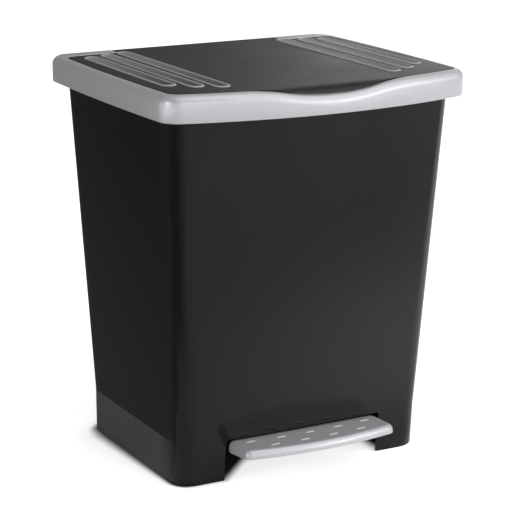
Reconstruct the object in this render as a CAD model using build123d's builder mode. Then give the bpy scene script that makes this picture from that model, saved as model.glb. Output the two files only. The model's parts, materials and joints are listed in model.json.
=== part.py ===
from build123d import *
from collections import namedtuple
import math
import os

# A pedal bin in millimetres: X to the right, Y to the back, Z up, origin on the floor under the middle.

# Rim frame, seen from above: corners, bow of each side, bow of the front
rim_half_width = 164.0
rim_side_bow = 3.0
rim_back = 155.0
rim_front = -129.0
rim_front_bow = 26.0
rim_corner = 21.0
opening_corner = 16.0

# Rim frame, in section
rim_top = 398.0
rim_height = 26.0
rim_wall = 3.0
rim_round = 7.0
land_width = 9.0
land_back_depth = 25.0
land_thickness = 3.0
riser_wall = 1.5
ledge_width = 9.0
ledge_thickness = 3.0
locating_rib_wall = 2.0
locating_rib_depth = 8.0
locating_rib_clearance = 7.0
seat_rib_width = 4.0

# Dip in the front of the rim, a wave of three tangent arcs
wave_half_width = 95.0
wave_depth = 7.6

# Lid
lid_thickness = 3.5
lid_side_gap = 0.4
lid_back_gap = 2.2
lip_front_inset = 5.0
lip_skirt_thickness = 2.2
lip_gap = 0.5
lip_half_width = 56.0
lip_end_taper = 18.0

# Raised rib loops on the lid, from the middle outwards
rib_centres = (95.5, 114.5, 135.5)
rib_fronts = (-111.0, -100.0, -82.0)
rib_backs = (126.0, 119.0, 112.0)
rib_width = 12.0
rib_wall = 3.2
rib_height = 1.3

# Hinge at the back
barrel_radius = 9.5
barrel_half_length = 94.5
barrel_end_gap = 1.0
barrel_wall = 3.0
barrel_plug_length = 24.0
barrel_room = 0.5
barrel_slot_width = 8.0
pin_radius = 3.0
pin_length = 30.0
pin_in_barrel = 15.0
pin_boss_length = 16.5
running_clearance = 0.05
fixed_clearance = 0.02
lid_opening = 70.0

# Body
wall_inset = 12.0
body_wall = 2.5
foot_half_width = 136.3
foot_side_bow = 0.3
foot_back = 122.5
foot_front = -91.0
foot_front_bow = 0.5
body_corner = 20.0
skirt_height = 44.5
floor_top = 52.5
floor_thickness = 2.5
notch_half_width = 88.0
notch_height = 44.0
notch_corner = 4.0
hinge_notch_clearance = 1.5
hinge_notch_depth = 14.0

# Inner bucket
bucket_wall = 2.0
bucket_floor_gap = 0.3
bucket_top_drop = 6.9
bucket_foot_gap = 7.5
bucket_mouth_gap = 12.0
bucket_rod_gap = 8.0
bucket_corner = 18.0
bucket_lip_width = 4.0
bucket_lip_thickness = 2.5
grip_half_width = 45.0
grip_depth = 16.0

# Lid lug and push rod
lug_arm = 28.0
nose_radius = 4.0
lug_half_width = 9.0
lug_base_half_width = 22.0
lug_base_depth = 26.0
lug_base_thickness = 3.0
lug_screw_offset = 15.0
lug_screw_setback = 6.5
contact_clearance = 0.8
rod_foot_y = 113.0
rod_radius = 2.5
cap_radius = 6.0
cap_height = 6.0
cap_round = 1.0
shoe_radius = 6.0
shoe_height = 4.4
rod_end_cover = 1.5
bush_radius = 5.0
bush_flange_radius = 7.0
bush_flange_height = 2.0
bush_tail = 1.0
guide_drop = 38.0
guide_half_width = 14.0
guide_thickness = 8.0
guide_nose_radius = 7.0
guide_flange_depth = 12.0
peg_radius = 2.5
peg_offset = 9.0
peg_recess = 0.4
peg_root = 4.0

# Soft buffers on the ledge
buffer_radius = 3.0
buffer_depth = 1.5
buffer_stand = 0.5
buffer_gap = 0.1
buffer_front_y = -90.0
buffer_back_y = 90.0

# Pedal tread, lying on a plane that rises to the front
tread_tilt = 6.0
tread_y = -92.0
tread_z = 38.5
tread_half_width = 84.0
tread_back = 4.0
tread_front = -40.0
tread_front_bow = 11.5
tread_corner = 7.0
tread_thickness = 8.5
tread_round = 3.0
tread_wall = 2.2
dash_back_count = 5
dash_front_count = 4
dash_pitch = 32.5
dash_length = 9.0
dash_width = 2.6
dash_height = 1.0
dash_back_row = -4.5
dash_front_row = -29.0
dash_row_bow = 6.0

# Pedal lever, axle and bracket
pivot_y = -18.0
pivot_z = 22.0
axle_radius = 3.0
axle_overhang = 3.0
hub_radius = 8.0
lever_half_width = 18.0
lever_thickness = 8.0
lever_side_gap = 3.5
hub_side_gap = 0.2
plate_half_width = 70.0
plate_thickness = 3.4
plate_front = -34.0
plate_gap = 0.5
bar_gap = 0.5
tread_boss_radius = 4.0
tread_boss_height = 2.8
tread_screw_offset = 45.0
tread_screw_row = -14.0
cheek_thickness = 4.0
bracket_plate_thickness = 3.5
bracket_depth = 36.0
bracket_flange = 12.0
bracket_boss_radius = 4.5
bracket_boss_height = 6.0

# Screws
screw_radius = 1.5
screw_head_radius = 3.2
screw_head_height = 2.2
screw_tip_cover = 1.0

# Heights and places that follow from the sizes above
rim_bottom = rim_top - rim_height
lid_bottom = rim_top - lid_thickness
ledge_top = lid_bottom - buffer_stand - buffer_gap
body_top = ledge_top - ledge_thickness
floor_bottom = floor_top - floor_thickness
hinge_y = rim_back - barrel_radius - barrel_room
hinge_z = rim_top - barrel_radius
hinge_floor = hinge_z - barrel_radius - barrel_room
boss_inner = barrel_half_length + barrel_end_gap
boss_outer = boss_inner + pin_boss_length
pocket_back = rim_back - land_back_depth
opening_back = pocket_back - ledge_width

# The lug swings equally far below and above the hinge, and the rod under it moves straight up
half_swing = math.radians(lid_opening / 2)
lug_y = hinge_y - lug_arm * math.cos(half_swing)
lug_z = hinge_z - lug_arm * math.sin(half_swing)
rod_y = hinge_y - lug_arm * (1 + math.cos(half_swing)) / 2
rod_travel = 2 * lug_arm * math.sin(half_swing)
cap_top = lug_z - nose_radius - contact_clearance
lever_nose_z = pivot_z - rod_travel / 2
shoe_bottom = lever_nose_z + nose_radius + contact_clearance
rod_lean = math.atan2(rod_y - rod_foot_y, cap_top - shoe_bottom)
rod_length = (cap_top - shoe_bottom) / math.cos(rod_lean)
rod_plane = Plane(
    origin=(0, rod_foot_y, shoe_bottom),
    x_dir=(1, 0, 0),
    z_dir=(0, math.sin(rod_lean), math.cos(rod_lean)),
)
guide_height = cap_top - guide_drop
bush_y = rod_foot_y + (floor_top - shoe_bottom) * math.tan(rod_lean)
guide_y = rod_foot_y + (guide_height - shoe_bottom) * math.tan(rod_lean)
cheek_inner = lever_half_width + lever_side_gap
cheek_outer = cheek_inner + cheek_thickness
bracket_top = floor_bottom - bracket_boss_height
bracket_bottom = bracket_top - bracket_plate_thickness
bracket_screw_x = cheek_outer + bracket_flange / 2
bracket_screw_y = bracket_depth / 2 - bracket_flange / 2
reach = 2 * rim_half_width

Plan = namedtuple("Plan", "half_width side_bow back front front_bow corner")


def arc_bow(radius, half_chord):
    """How far an arc of a radius stands out over its chord."""
    return radius - math.sqrt(radius**2 - half_chord**2)


def inset_plan(plan, inset):
    """The parallel outline inside another: each edge moves inwards, and each arc keeps its centre."""
    half_width = plan.half_width - inset
    front_radius = (plan.half_width**2 + plan.front_bow**2) / (2 * plan.front_bow) - inset
    front_bow = arc_bow(front_radius, half_width)
    front = plan.front - plan.front_bow + inset + front_bow
    half_depth = (plan.back - plan.front) / 2
    side_radius = (half_depth**2 + plan.side_bow**2) / (2 * plan.side_bow) - inset
    side_bow = arc_bow(side_radius, (plan.back - inset - front) / 2)
    half_width = plan.half_width + plan.side_bow - inset - side_bow
    return Plan(half_width, side_bow, plan.back - inset, front, front_bow, plan.corner - inset)


def mixed_plan(low, high, share):
    """The outline at a share of the way from a low outline to a high one."""
    return Plan(*(a + (b - a) * share for a, b in zip(low, high)))


rim_plan = Plan(rim_half_width, rim_side_bow, rim_back, rim_front, rim_front_bow, rim_corner)
pocket_plan = inset_plan(rim_plan, land_width)._replace(back=pocket_back)
opening_plan = inset_plan(pocket_plan, ledge_width)._replace(corner=opening_corner)
lid_plan = inset_plan(pocket_plan, lid_side_gap)._replace(back=pocket_back - lid_back_gap)
foot_plan = Plan(foot_half_width, foot_side_bow, foot_back, foot_front, foot_front_bow, body_corner)
mouth_plan = inset_plan(rim_plan, wall_inset)._replace(corner=body_corner)


def body_plan(height):
    """The body's outline at a height: its walls run straight from the foot to the mouth."""
    return mixed_plan(foot_plan, mouth_plan, height / body_top)


def plan_face(outline, height, grow=0.0):
    """A flat face with rounded corners, bowed sides and a bowed front, grown outwards by an amount."""
    plan = inset_plan(outline, -grow)
    middle = (plan.back + plan.front) / 2
    back_left = (-plan.half_width, plan.back)
    back_right = (plan.half_width, plan.back)
    front_left = (-plan.half_width, plan.front)
    front_right = (plan.half_width, plan.front)
    with BuildSketch(Plane.XY.offset(height)) as face:
        with BuildLine():
            Line(back_right, back_left)
            ThreePointArc(back_left, (-plan.half_width - plan.side_bow, middle), front_left)
            ThreePointArc(front_left, (0, plan.front - plan.front_bow), front_right)
            ThreePointArc(front_right, (plan.half_width + plan.side_bow, middle), back_right)
        make_face()
        fillet(face.vertices(), radius=plan.corner)
    return face.sketch


def ring_face(outer, inner, height):
    """The flat ring between two outlines."""
    with BuildSketch(Plane.XY.offset(height)) as ring:
        add(outer)
        add(inner, mode=Mode.SUBTRACT)
    return ring.sketch


def wave_block(lift):
    """All the space below the rim's top, with its dip at the front, moved up by an amount."""
    top = rim_top + lift
    middle = top - wave_depth / 2
    quarter = wave_half_width / 2
    with BuildPart() as block:
        with BuildSketch(Plane.XZ):
            with BuildLine():
                Line((-reach, 0), (-reach, top))
                Line((-reach, top), (-wave_half_width, top))
                TangentArc((-wave_half_width, top), (-quarter, middle), tangent=(1, 0))
                ThreePointArc((-quarter, middle), (0, top - wave_depth), (quarter, middle))
                TangentArc((wave_half_width, top), (quarter, middle), tangent=(-1, 0))
                Line((wave_half_width, top), (reach, top))
                Line((reach, top), (reach, 0))
                Line((reach, 0), (-reach, 0))
            make_face()
        extrude(amount=reach)
        Box(2 * reach, reach, top, align=(Align.CENTER, Align.MIN, Align.MIN))
    return block.part


def screw_group(places, seat, tip):
    """Pan-head screws with their heads below a seat height and their tips at a height above it."""
    with BuildPart() as screws:
        with Locations(*[(x, y, seat) for x, y in places]):
            Cylinder(screw_radius, tip - seat, align=(Align.CENTER, Align.CENTER, Align.MIN))
        with Locations(*[(x, y, seat) for x, y in places]):
            Cylinder(screw_head_radius, screw_head_height, align=(Align.CENTER, Align.CENTER, Align.MAX))
    return screws


def save(piece, name):
    """Labels a finished piece and writes it."""
    piece.part.label = name
    export_step(piece.part, f"parts/{name}.step")


os.makedirs("parts", exist_ok=True)

# Outer body: tapered shell on a skirt with upright sides, with a floor plate and a pedal notch
bracket_screw_places = [
    (side * bracket_screw_x, pivot_y + end * bracket_screw_y) for side in (-1, 1) for end in (-1, 1)
]
screw_hole_top = floor_top - screw_tip_cover
skirt_plan = body_plan(skirt_height)._replace(front=foot_front, front_bow=foot_front_bow)
overshoot = 1.0
wall_at_guide = body_plan(guide_height).back

with BuildPart() as body_void:
    loft(
        [
            plan_face(skirt_plan, -overshoot, -body_wall),
            plan_face(body_plan(skirt_height), skirt_height, -body_wall),
            plan_face(body_plan(body_top + overshoot), body_top + overshoot, -body_wall),
        ],
        ruled=True,
    )

with BuildPart() as outer_body:
    loft(
        [
            plan_face(skirt_plan, 0),
            plan_face(body_plan(skirt_height), skirt_height),
            plan_face(mouth_plan, body_top),
        ],
        ruled=True,
    )
    add(body_void.part, mode=Mode.SUBTRACT)
    extrude(plan_face(body_plan(floor_bottom), floor_bottom, -body_wall / 2), amount=floor_thickness)
    with BuildSketch(Plane.XZ.offset(bracket_depth / 2 - pivot_y)) as notch:
        with Locations((0, notch_height / 2 - overshoot)):
            Rectangle(2 * notch_half_width, notch_height + 2 * overshoot)
        fillet(notch.vertices().group_by(Axis.Z)[-1], radius=notch_corner)
    extrude(notch.sketch, amount=reach, mode=Mode.SUBTRACT)
    with Locations((0, hinge_y, hinge_floor - barrel_room)):
        Box(
            2 * (boss_outer + hinge_notch_clearance),
            2 * hinge_notch_depth,
            body_top,
            align=(Align.CENTER, Align.CENTER, Align.MIN),
            mode=Mode.SUBTRACT,
        )
    with Locations(*[(x, y, floor_bottom) for x, y in bracket_screw_places]):
        Cylinder(
            bracket_boss_radius, bracket_boss_height, align=(Align.CENTER, Align.CENTER, Align.MAX)
        )
    with Locations(*[(x, y, screw_hole_top) for x, y in bracket_screw_places]):
        Cylinder(
            screw_radius + fixed_clearance,
            screw_hole_top - bracket_top + overshoot,
            align=(Align.CENTER, Align.CENTER, Align.MAX),
            mode=Mode.SUBTRACT,
        )
    with Locations((0, bush_y, floor_bottom)):
        Cylinder(bush_radius + fixed_clearance, 2 * (floor_thickness + overshoot), mode=Mode.SUBTRACT)
    with BuildSketch(Plane.XZ.offset(-wall_at_guide - body_wall)):
        with Locations((-peg_offset, guide_height), (peg_offset, guide_height)):
            Circle(peg_radius + fixed_clearance)
    extrude(amount=2 * body_wall + overshoot, mode=Mode.SUBTRACT)
save(outer_body, "outer_body")

# Inner bucket: tapered, with an outward lip and a finger dip on each side
bucket_bottom = floor_top + bucket_floor_gap
bucket_top = body_top - bucket_top_drop
bucket_foot_plan = inset_plan(body_plan(bucket_bottom), body_wall + bucket_foot_gap)._replace(
    back=bush_y - bush_flange_radius - bucket_rod_gap, corner=bucket_corner
)
bucket_mouth_plan = inset_plan(body_plan(bucket_top), body_wall + bucket_mouth_gap)._replace(
    back=guide_y - guide_nose_radius - bucket_rod_gap, corner=bucket_corner
)
bucket_hollow_plan = mixed_plan(
    bucket_foot_plan, bucket_mouth_plan, bucket_wall / (bucket_top - bucket_bottom)
)

with BuildPart() as inner_bucket:
    loft(
        [plan_face(bucket_foot_plan, bucket_bottom), plan_face(bucket_mouth_plan, bucket_top)],
        ruled=True,
    )
    extrude(
        plan_face(bucket_mouth_plan, bucket_top - bucket_lip_thickness, bucket_lip_width),
        amount=bucket_lip_thickness,
    )
    loft(
        [
            plan_face(bucket_hollow_plan, bucket_bottom + bucket_wall, -bucket_wall),
            plan_face(bucket_mouth_plan, bucket_top, -bucket_wall),
        ],
        ruled=True,
        mode=Mode.SUBTRACT,
    )
    with BuildSketch(Plane.YZ):
        with Locations((0, bucket_top)):
            Ellipse(grip_half_width, grip_depth)
    extrude(amount=reach, both=True, mode=Mode.SUBTRACT)
save(inner_bucket, "inner_bucket")

# Rim frame: band with a rounded top, land, riser, ledge for the lid, and ribs that stop at the finger dips
with BuildPart() as land_underside:
    extrude(
        ring_face(
            plan_face(rim_plan, rim_bottom - overshoot, -rim_wall),
            plan_face(pocket_plan, rim_bottom - overshoot, riser_wall),
            rim_bottom - overshoot,
        ),
        amount=rim_height,
    )
    add(wave_block(-land_thickness), mode=Mode.INTERSECT)

riser_bottom = rim_top - wave_depth - land_thickness
buffer_x = opening_plan.half_width + opening_plan.side_bow / 2 + ledge_width / 2
buffer_places = [(side * buffer_x, y) for side in (-1, 1) for y in (buffer_front_y, buffer_back_y)]

with BuildPart() as riser_room:
    extrude(
        ring_face(
            plan_face(pocket_plan, rim_bottom - overshoot, riser_wall + overshoot / 2),
            plan_face(pocket_plan, rim_bottom - overshoot, -overshoot / 2),
            rim_bottom - overshoot,
        ),
        amount=body_top - rim_bottom + overshoot,
    )
    with Locations((0, 0, riser_bottom)):
        Box(
            2 * reach,
            reach,
            rim_height,
            align=(Align.CENTER, Align.MAX, Align.MIN),
            mode=Mode.SUBTRACT,
        )

with BuildPart() as riser:
    extrude(
        ring_face(
            plan_face(pocket_plan, riser_bottom, riser_wall),
            plan_face(pocket_plan, riser_bottom, -overshoot / 2),
            riser_bottom,
        ),
        amount=ledge_top - riser_bottom,
    )
    with Locations((0, 0, riser_bottom)):
        Box(
            2 * reach,
            reach,
            body_top - riser_bottom,
            align=(Align.CENTER, Align.MIN, Align.MIN),
            mode=Mode.SUBTRACT,
        )

with BuildPart() as back_seat:
    extrude(
        ring_face(
            plan_face(rim_plan, body_top, seat_rib_width / 2 - wall_inset),
            plan_face(rim_plan, body_top, -wall_inset - seat_rib_width),
            body_top,
        ),
        amount=rim_top - body_top - land_thickness / 2,
    )
    with Locations((0, pocket_back, 0)):
        Box(2 * reach, reach, 2 * rim_top, align=(Align.CENTER, Align.MAX, Align.CENTER), mode=Mode.SUBTRACT)

with BuildPart() as rim_frame:
    extrude(plan_face(rim_plan, rim_bottom), amount=2 * rim_height)
    add(wave_block(0), mode=Mode.INTERSECT)
    top_edges = rim_frame.edges().filter_by(lambda edge: edge.center().Z > riser_bottom)
    outer_edges = top_edges.filter_by(
        lambda edge: abs(edge.center().X) > pocket_plan.half_width
        or edge.center().Y > pocket_back
        or edge.center().Y < pocket_plan.front
    )
    fillet(outer_edges.filter_by(Axis.Z, reverse=True), radius=rim_round)
    extrude(plan_face(pocket_plan, rim_bottom - overshoot), amount=2 * rim_height, mode=Mode.SUBTRACT)
    add(land_underside.part, mode=Mode.SUBTRACT)
    add(riser_room.part, mode=Mode.SUBTRACT)
    add(riser.part)
    extrude(
        ring_face(plan_face(pocket_plan, body_top), plan_face(opening_plan, body_top), body_top),
        amount=ledge_thickness,
    )
    extrude(
        ring_face(
            plan_face(opening_plan, body_top - locating_rib_depth, locating_rib_wall),
            plan_face(opening_plan, body_top - locating_rib_depth),
            body_top - locating_rib_depth,
        ),
        amount=locating_rib_depth + ledge_thickness,
    )
    with Locations((0, 0, body_top - locating_rib_depth - overshoot)):
        Box(
            2 * pocket_plan.half_width,
            2 * (grip_half_width + locating_rib_clearance),
            locating_rib_depth + overshoot,
            align=(Align.CENTER, Align.CENTER, Align.MIN),
            mode=Mode.SUBTRACT,
        )
    add(back_seat.part)
    with Locations((0, opening_back - overshoot, hinge_floor)):
        Box(
            2 * boss_inner,
            reach,
            rim_top,
            align=(Align.CENTER, Align.MIN, Align.MIN),
            mode=Mode.SUBTRACT,
        )
    for side in (-1, 1):
        with Locations((side * (boss_inner + boss_outer) / 2, rim_back - rim_wall, hinge_floor)):
            Box(
                pin_boss_length,
                land_back_depth - 2 * rim_wall,
                rim_top - land_thickness - hinge_floor,
                align=(Align.CENTER, Align.MAX, Align.MIN),
            )
    with BuildSketch(Plane.YZ):
        with Locations((hinge_y, hinge_z)):
            Circle(pin_radius + fixed_clearance)
    extrude(amount=boss_outer + overshoot, both=True, mode=Mode.SUBTRACT)
    with Locations(*[(x, y, ledge_top - buffer_depth) for x, y in buffer_places]):
        Cylinder(
            buffer_radius + fixed_clearance,
            buffer_depth + overshoot,
            align=(Align.CENTER, Align.CENTER, Align.MIN),
            mode=Mode.SUBTRACT,
        )
save(rim_frame, "rim_frame")

# Soft buffers: four buttons in the ledge, a little proud of it
with BuildPart() as lid_buffers:
    with Locations(*[(x, y, ledge_top - buffer_depth) for x, y in buffer_places]):
        Cylinder(
            buffer_radius, buffer_depth + buffer_stand, align=(Align.CENTER, Align.CENTER, Align.MIN)
        )
save(lid_buffers, "lid_buffers")

# Lid: flat panel with rib loops, a lip that drops into the rim's dip and a hinge barrel at the back
lug_screw_places = [(side * lug_screw_offset, lug_y - lug_screw_setback) for side in (-1, 1)]
barrel_hollow_half_length = barrel_half_length - barrel_plug_length

with BuildPart() as lid_lip:
    with BuildSketch(Plane.XY.offset(rim_top - wave_depth)):
        add(plan_face(inset_plan(rim_plan, lip_front_inset), rim_top - wave_depth))
        Polygon(
            (-lip_half_width, rim_front - rim_front_bow),
            (lip_half_width, rim_front - rim_front_bow),
            (lip_half_width + lip_end_taper, rim_front),
            (-lip_half_width - lip_end_taper, rim_front),
            align=None,
            mode=Mode.INTERSECT,
        )
    extrude(amount=wave_depth)
    add(wave_block(lip_gap), mode=Mode.SUBTRACT)
    extrude(
        plan_face(
            inset_plan(rim_plan, lip_front_inset + lip_skirt_thickness), rim_top - wave_depth - overshoot
        ),
        amount=lid_bottom - rim_top + wave_depth + overshoot,
        mode=Mode.SUBTRACT,
    )

with BuildPart() as lid_panel:
    extrude(plan_face(lid_plan, lid_bottom), amount=lid_thickness)
    add(lid_lip.part)
    with Locations((0, opening_back, lid_bottom)):
        Box(
            2 * barrel_half_length,
            hinge_y - opening_back,
            lid_thickness,
            align=(Align.CENTER, Align.MIN, Align.MIN),
        )
    with BuildSketch(Plane.YZ):
        with Locations((hinge_y, hinge_z)):
            Circle(barrel_radius)
    extrude(amount=barrel_half_length, both=True)
    with BuildSketch(Plane.YZ):
        with Locations((hinge_y, hinge_z)):
            Circle(barrel_radius - barrel_wall)
            Rectangle(barrel_slot_width, 2 * barrel_radius, align=(Align.CENTER, Align.MAX))
    extrude(amount=barrel_hollow_half_length, both=True, mode=Mode.SUBTRACT)
    for side in (-1, 1):
        with BuildSketch(Plane.YZ.offset(side * barrel_half_length)):
            with Locations((hinge_y, hinge_z)):
                Circle(pin_radius + running_clearance)
        extrude(amount=-side * (pin_in_barrel + overshoot), mode=Mode.SUBTRACT)
    with Locations(*[(x, y, lid_bottom) for x, y in lug_screw_places]):
        Cylinder(
            screw_radius + fixed_clearance,
            2 * (lid_thickness - screw_tip_cover),
            mode=Mode.SUBTRACT,
        )
    for centre, front, back in zip(rib_centres, rib_fronts, rib_backs):
        with BuildSketch(Plane.XY.offset(rim_top)):
            with Locations((-centre, (front + back) / 2), (centre, (front + back) / 2)):
                SlotOverall(back - front, rib_width, rotation=90)
                SlotOverall(
                    back - front - 2 * rib_wall, rib_width - 2 * rib_wall, rotation=90, mode=Mode.SUBTRACT
                )
        extrude(amount=rib_height)
save(lid_panel, "lid_panel")

# Hinge pins: fixed in the rim's bosses, running in the barrel's ends
for name, side in (("hinge_pin_left", -1), ("hinge_pin_right", 1)):
    with BuildPart() as hinge_pin:
        with BuildSketch(Plane.YZ.offset(side * (barrel_half_length - pin_in_barrel))):
            with Locations((hinge_y, hinge_z)):
                Circle(pin_radius)
        extrude(amount=side * pin_length)
    save(hinge_pin, name)

# Lid lug: base under the lid, with a finger whose round nose the rod pushes
with BuildPart() as lid_lug:
    with Locations((0, lug_y, lid_bottom)):
        Box(
            2 * lug_base_half_width,
            lug_base_depth,
            lug_base_thickness,
            align=(Align.CENTER, Align.CENTER, Align.MAX),
        )
    with BuildSketch(Plane.YZ):
        with Locations((lug_y, lug_z)):
            Circle(nose_radius)
            Rectangle(2 * nose_radius, lid_bottom - lug_z, align=(Align.CENTER, Align.MIN))
    extrude(amount=lug_half_width, both=True)
    with Locations(*[(x, y, lid_bottom) for x, y in lug_screw_places]):
        Cylinder(screw_radius + fixed_clearance, 2 * (lug_base_thickness + overshoot), mode=Mode.SUBTRACT)
save(lid_lug, "lid_lug")

lug_screws = screw_group(lug_screw_places, lid_bottom - lug_base_thickness, rim_top - screw_tip_cover)
save(lug_screws, "lug_screws")

# Push rod with its cap and shoe, on an axis that leans back a little as the wall does
def rod_cylinder(radius, low, high):
    """A cylinder round the rod's axis between two distances above the shoe's sole."""
    with BuildPart() as cylinder:
        with BuildSketch(rod_plane.offset(low)):
            Circle(radius)
        extrude(amount=high - low)
    return cylinder.part


with BuildPart() as push_rod:
    add(rod_cylinder(rod_radius, rod_end_cover, rod_length - rod_end_cover))
save(push_rod, "push_rod")

rod_socket = rod_cylinder(rod_radius + fixed_clearance, rod_end_cover, rod_length - rod_end_cover)
rod_passage = rod_cylinder(rod_radius + running_clearance, 0, rod_length)

with BuildPart() as rod_cap:
    add(rod_cylinder(cap_radius, rod_length - cap_height, rod_length))
    fillet(rod_cap.edges().group_by(Axis.Z)[-1], radius=cap_round)
    add(rod_socket, mode=Mode.SUBTRACT)
save(rod_cap, "rod_cap")

with BuildPart() as rod_shoe:
    add(rod_cylinder(shoe_radius, 0, shoe_height))
    add(rod_socket, mode=Mode.SUBTRACT)
save(rod_shoe, "rod_shoe")

# Rod guide: an arm from the back wall with an eye, pegged through the wall
with BuildPart() as rod_guide:
    with BuildSketch(Plane.XY.offset(guide_height - guide_thickness / 2)):
        with Locations((0, guide_y)):
            Circle(guide_nose_radius)
            Rectangle(2 * guide_nose_radius, reach, align=(Align.CENTER, Align.MIN))
        with Locations((0, wall_at_guide)):
            Rectangle(2 * guide_half_width, 2 * guide_flange_depth)
    extrude(amount=guide_thickness)
    add(body_void.part, mode=Mode.INTERSECT)
    add(rod_passage, mode=Mode.SUBTRACT)
    with BuildSketch(Plane.XZ.offset(peg_recess - wall_at_guide)):
        with Locations((-peg_offset, guide_height), (peg_offset, guide_height)):
            Circle(peg_radius)
    extrude(amount=body_wall + peg_root)
save(rod_guide, "rod_guide")

# Floor bush: flanged sleeve that guides the rod through the floor
with BuildPart() as floor_bush:
    with Locations((0, bush_y, floor_bottom - bush_tail)):
        Cylinder(
            bush_radius,
            floor_thickness + bush_tail + bush_flange_height,
            align=(Align.CENTER, Align.CENTER, Align.MIN),
        )
    with Locations((0, bush_y, floor_top)):
        Cylinder(
            bush_flange_radius, bush_flange_height, align=(Align.CENTER, Align.CENTER, Align.MIN)
        )
    add(rod_passage, mode=Mode.SUBTRACT)
save(floor_bush, "floor_bush")

# Pedal tread: hollow cap with a bowed front and raised dashes, on the tilted tread plane
tilt = math.radians(tread_tilt)
tread_plane = Plane(
    origin=(0, tread_y, tread_z), x_dir=(1, 0, 0), z_dir=(0, math.sin(tilt), math.cos(tilt))
)
tread_plan = Plan(
    tread_half_width, foot_side_bow, tread_back, tread_front, tread_front_bow, tread_corner
)
tread_screw_places = [(side * tread_screw_offset, tread_screw_row) for side in (-1, 1)]
plate_top = -tread_wall - tread_boss_height
plate_bottom = plate_top - plate_thickness
plate_back = tread_back - tread_wall - plate_gap


def tread_face(depth, grow=0.0):
    """The tread's outline, at a depth under its top and grown by an amount, on the tread plane."""
    with BuildSketch(tread_plane.offset(-depth)) as face:
        add(plan_face(tread_plan, 0, grow))
    return face.sketch


def dash_row(count, row):
    """Places of a row of dashes that bows forward in the middle."""
    span = dash_pitch * (count - 1) / 2
    xs = [dash_pitch * i - span for i in range(count)]
    return [(x, row - dash_row_bow * (1 - (x / tread_half_width) ** 2)) for x in xs]


with BuildPart() as pedal_tread:
    extrude(tread_face(tread_thickness), amount=tread_thickness)
    top_face = pedal_tread.faces().sort_by(Axis.Z)[-1]
    fillet(top_face.edges(), radius=tread_round)
    extrude(
        tread_face(tread_thickness, -tread_wall), amount=tread_thickness - tread_wall, mode=Mode.SUBTRACT
    )
    with BuildSketch(tread_plane.offset(-tread_thickness)):
        with Locations((0, plate_back)):
            Rectangle(
                2 * (lever_half_width + bar_gap),
                tread_wall + plate_gap + overshoot,
                align=(Align.CENTER, Align.MIN),
            )
    extrude(amount=tread_thickness + plate_top + bar_gap, mode=Mode.SUBTRACT)
    with BuildSketch(tread_plane.offset(plate_top)):
        with Locations(*tread_screw_places):
            Circle(tread_boss_radius)
    extrude(amount=tread_boss_height)
    with BuildSketch(tread_plane.offset(plate_top)):
        with Locations(*tread_screw_places):
            Circle(screw_radius + fixed_clearance)
    extrude(amount=tread_boss_height + tread_wall - screw_tip_cover, mode=Mode.SUBTRACT)
    dash_places = dash_row(dash_back_count, dash_back_row) + dash_row(dash_front_count, dash_front_row)
    with BuildSketch(tread_plane):
        with Locations(*dash_places):
            SlotOverall(dash_length, dash_width)
    extrude(amount=dash_height)
save(pedal_tread, "pedal_tread")

with BuildPart() as tread_screws:
    with BuildSketch(tread_plane.offset(plate_bottom)):
        with Locations(*tread_screw_places):
            Circle(screw_radius)
    extrude(amount=-plate_bottom - screw_tip_cover)
    with BuildSketch(tread_plane.offset(plate_bottom)):
        with Locations(*tread_screw_places):
            Circle(screw_head_radius)
    extrude(amount=-screw_head_height)
save(tread_screws, "tread_screws")

# Pedal lever: plate under the tread, bar to the hub, and a bar on to the round nose under the rod
plate_back_low = tread_plane.from_local_coords((0, plate_back, plate_bottom))
plate_back_high = tread_plane.from_local_coords((0, plate_back, plate_top))
plate_front_low = tread_plane.from_local_coords((0, plate_front, plate_bottom))
half_bar = lever_thickness / 2

with BuildPart() as pedal_lever:
    with BuildSketch(tread_plane.offset(plate_bottom)):
        Rectangle(2 * plate_half_width, plate_back, align=(Align.CENTER, Align.MIN))
        Rectangle(2 * plate_half_width, -plate_front, align=(Align.CENTER, Align.MAX))
    extrude(amount=plate_thickness)
    with BuildSketch(Plane.YZ):
        with BuildLine():
            Polyline(
                (plate_front_low.Y, plate_front_low.Z),
                (plate_back_high.Y, plate_back_high.Z),
                (pivot_y, pivot_z + half_bar),
                (rod_foot_y, lever_nose_z + half_bar),
                (rod_foot_y, lever_nose_z - half_bar),
                (pivot_y, pivot_z - half_bar),
                (plate_back_low.Y, plate_back_low.Z - half_bar),
                close=True,
            )
        make_face()
        with Locations((rod_foot_y, lever_nose_z)):
            Circle(nose_radius)
        with Locations((pivot_y, pivot_z)):
            Circle(hub_radius)
    extrude(amount=lever_half_width, both=True)
    with BuildSketch(Plane.YZ):
        with Locations((pivot_y, pivot_z)):
            Circle(hub_radius)
    extrude(amount=cheek_inner - hub_side_gap, both=True)
    with BuildSketch(Plane.YZ):
        with Locations((pivot_y, pivot_z)):
            Circle(axle_radius + running_clearance)
    extrude(amount=reach, both=True, mode=Mode.SUBTRACT)
    with BuildSketch(tread_plane.offset(plate_bottom)):
        with Locations(*tread_screw_places):
            Circle(screw_radius + fixed_clearance)
    extrude(amount=plate_thickness, mode=Mode.SUBTRACT)
save(pedal_lever, "pedal_lever")

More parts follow.
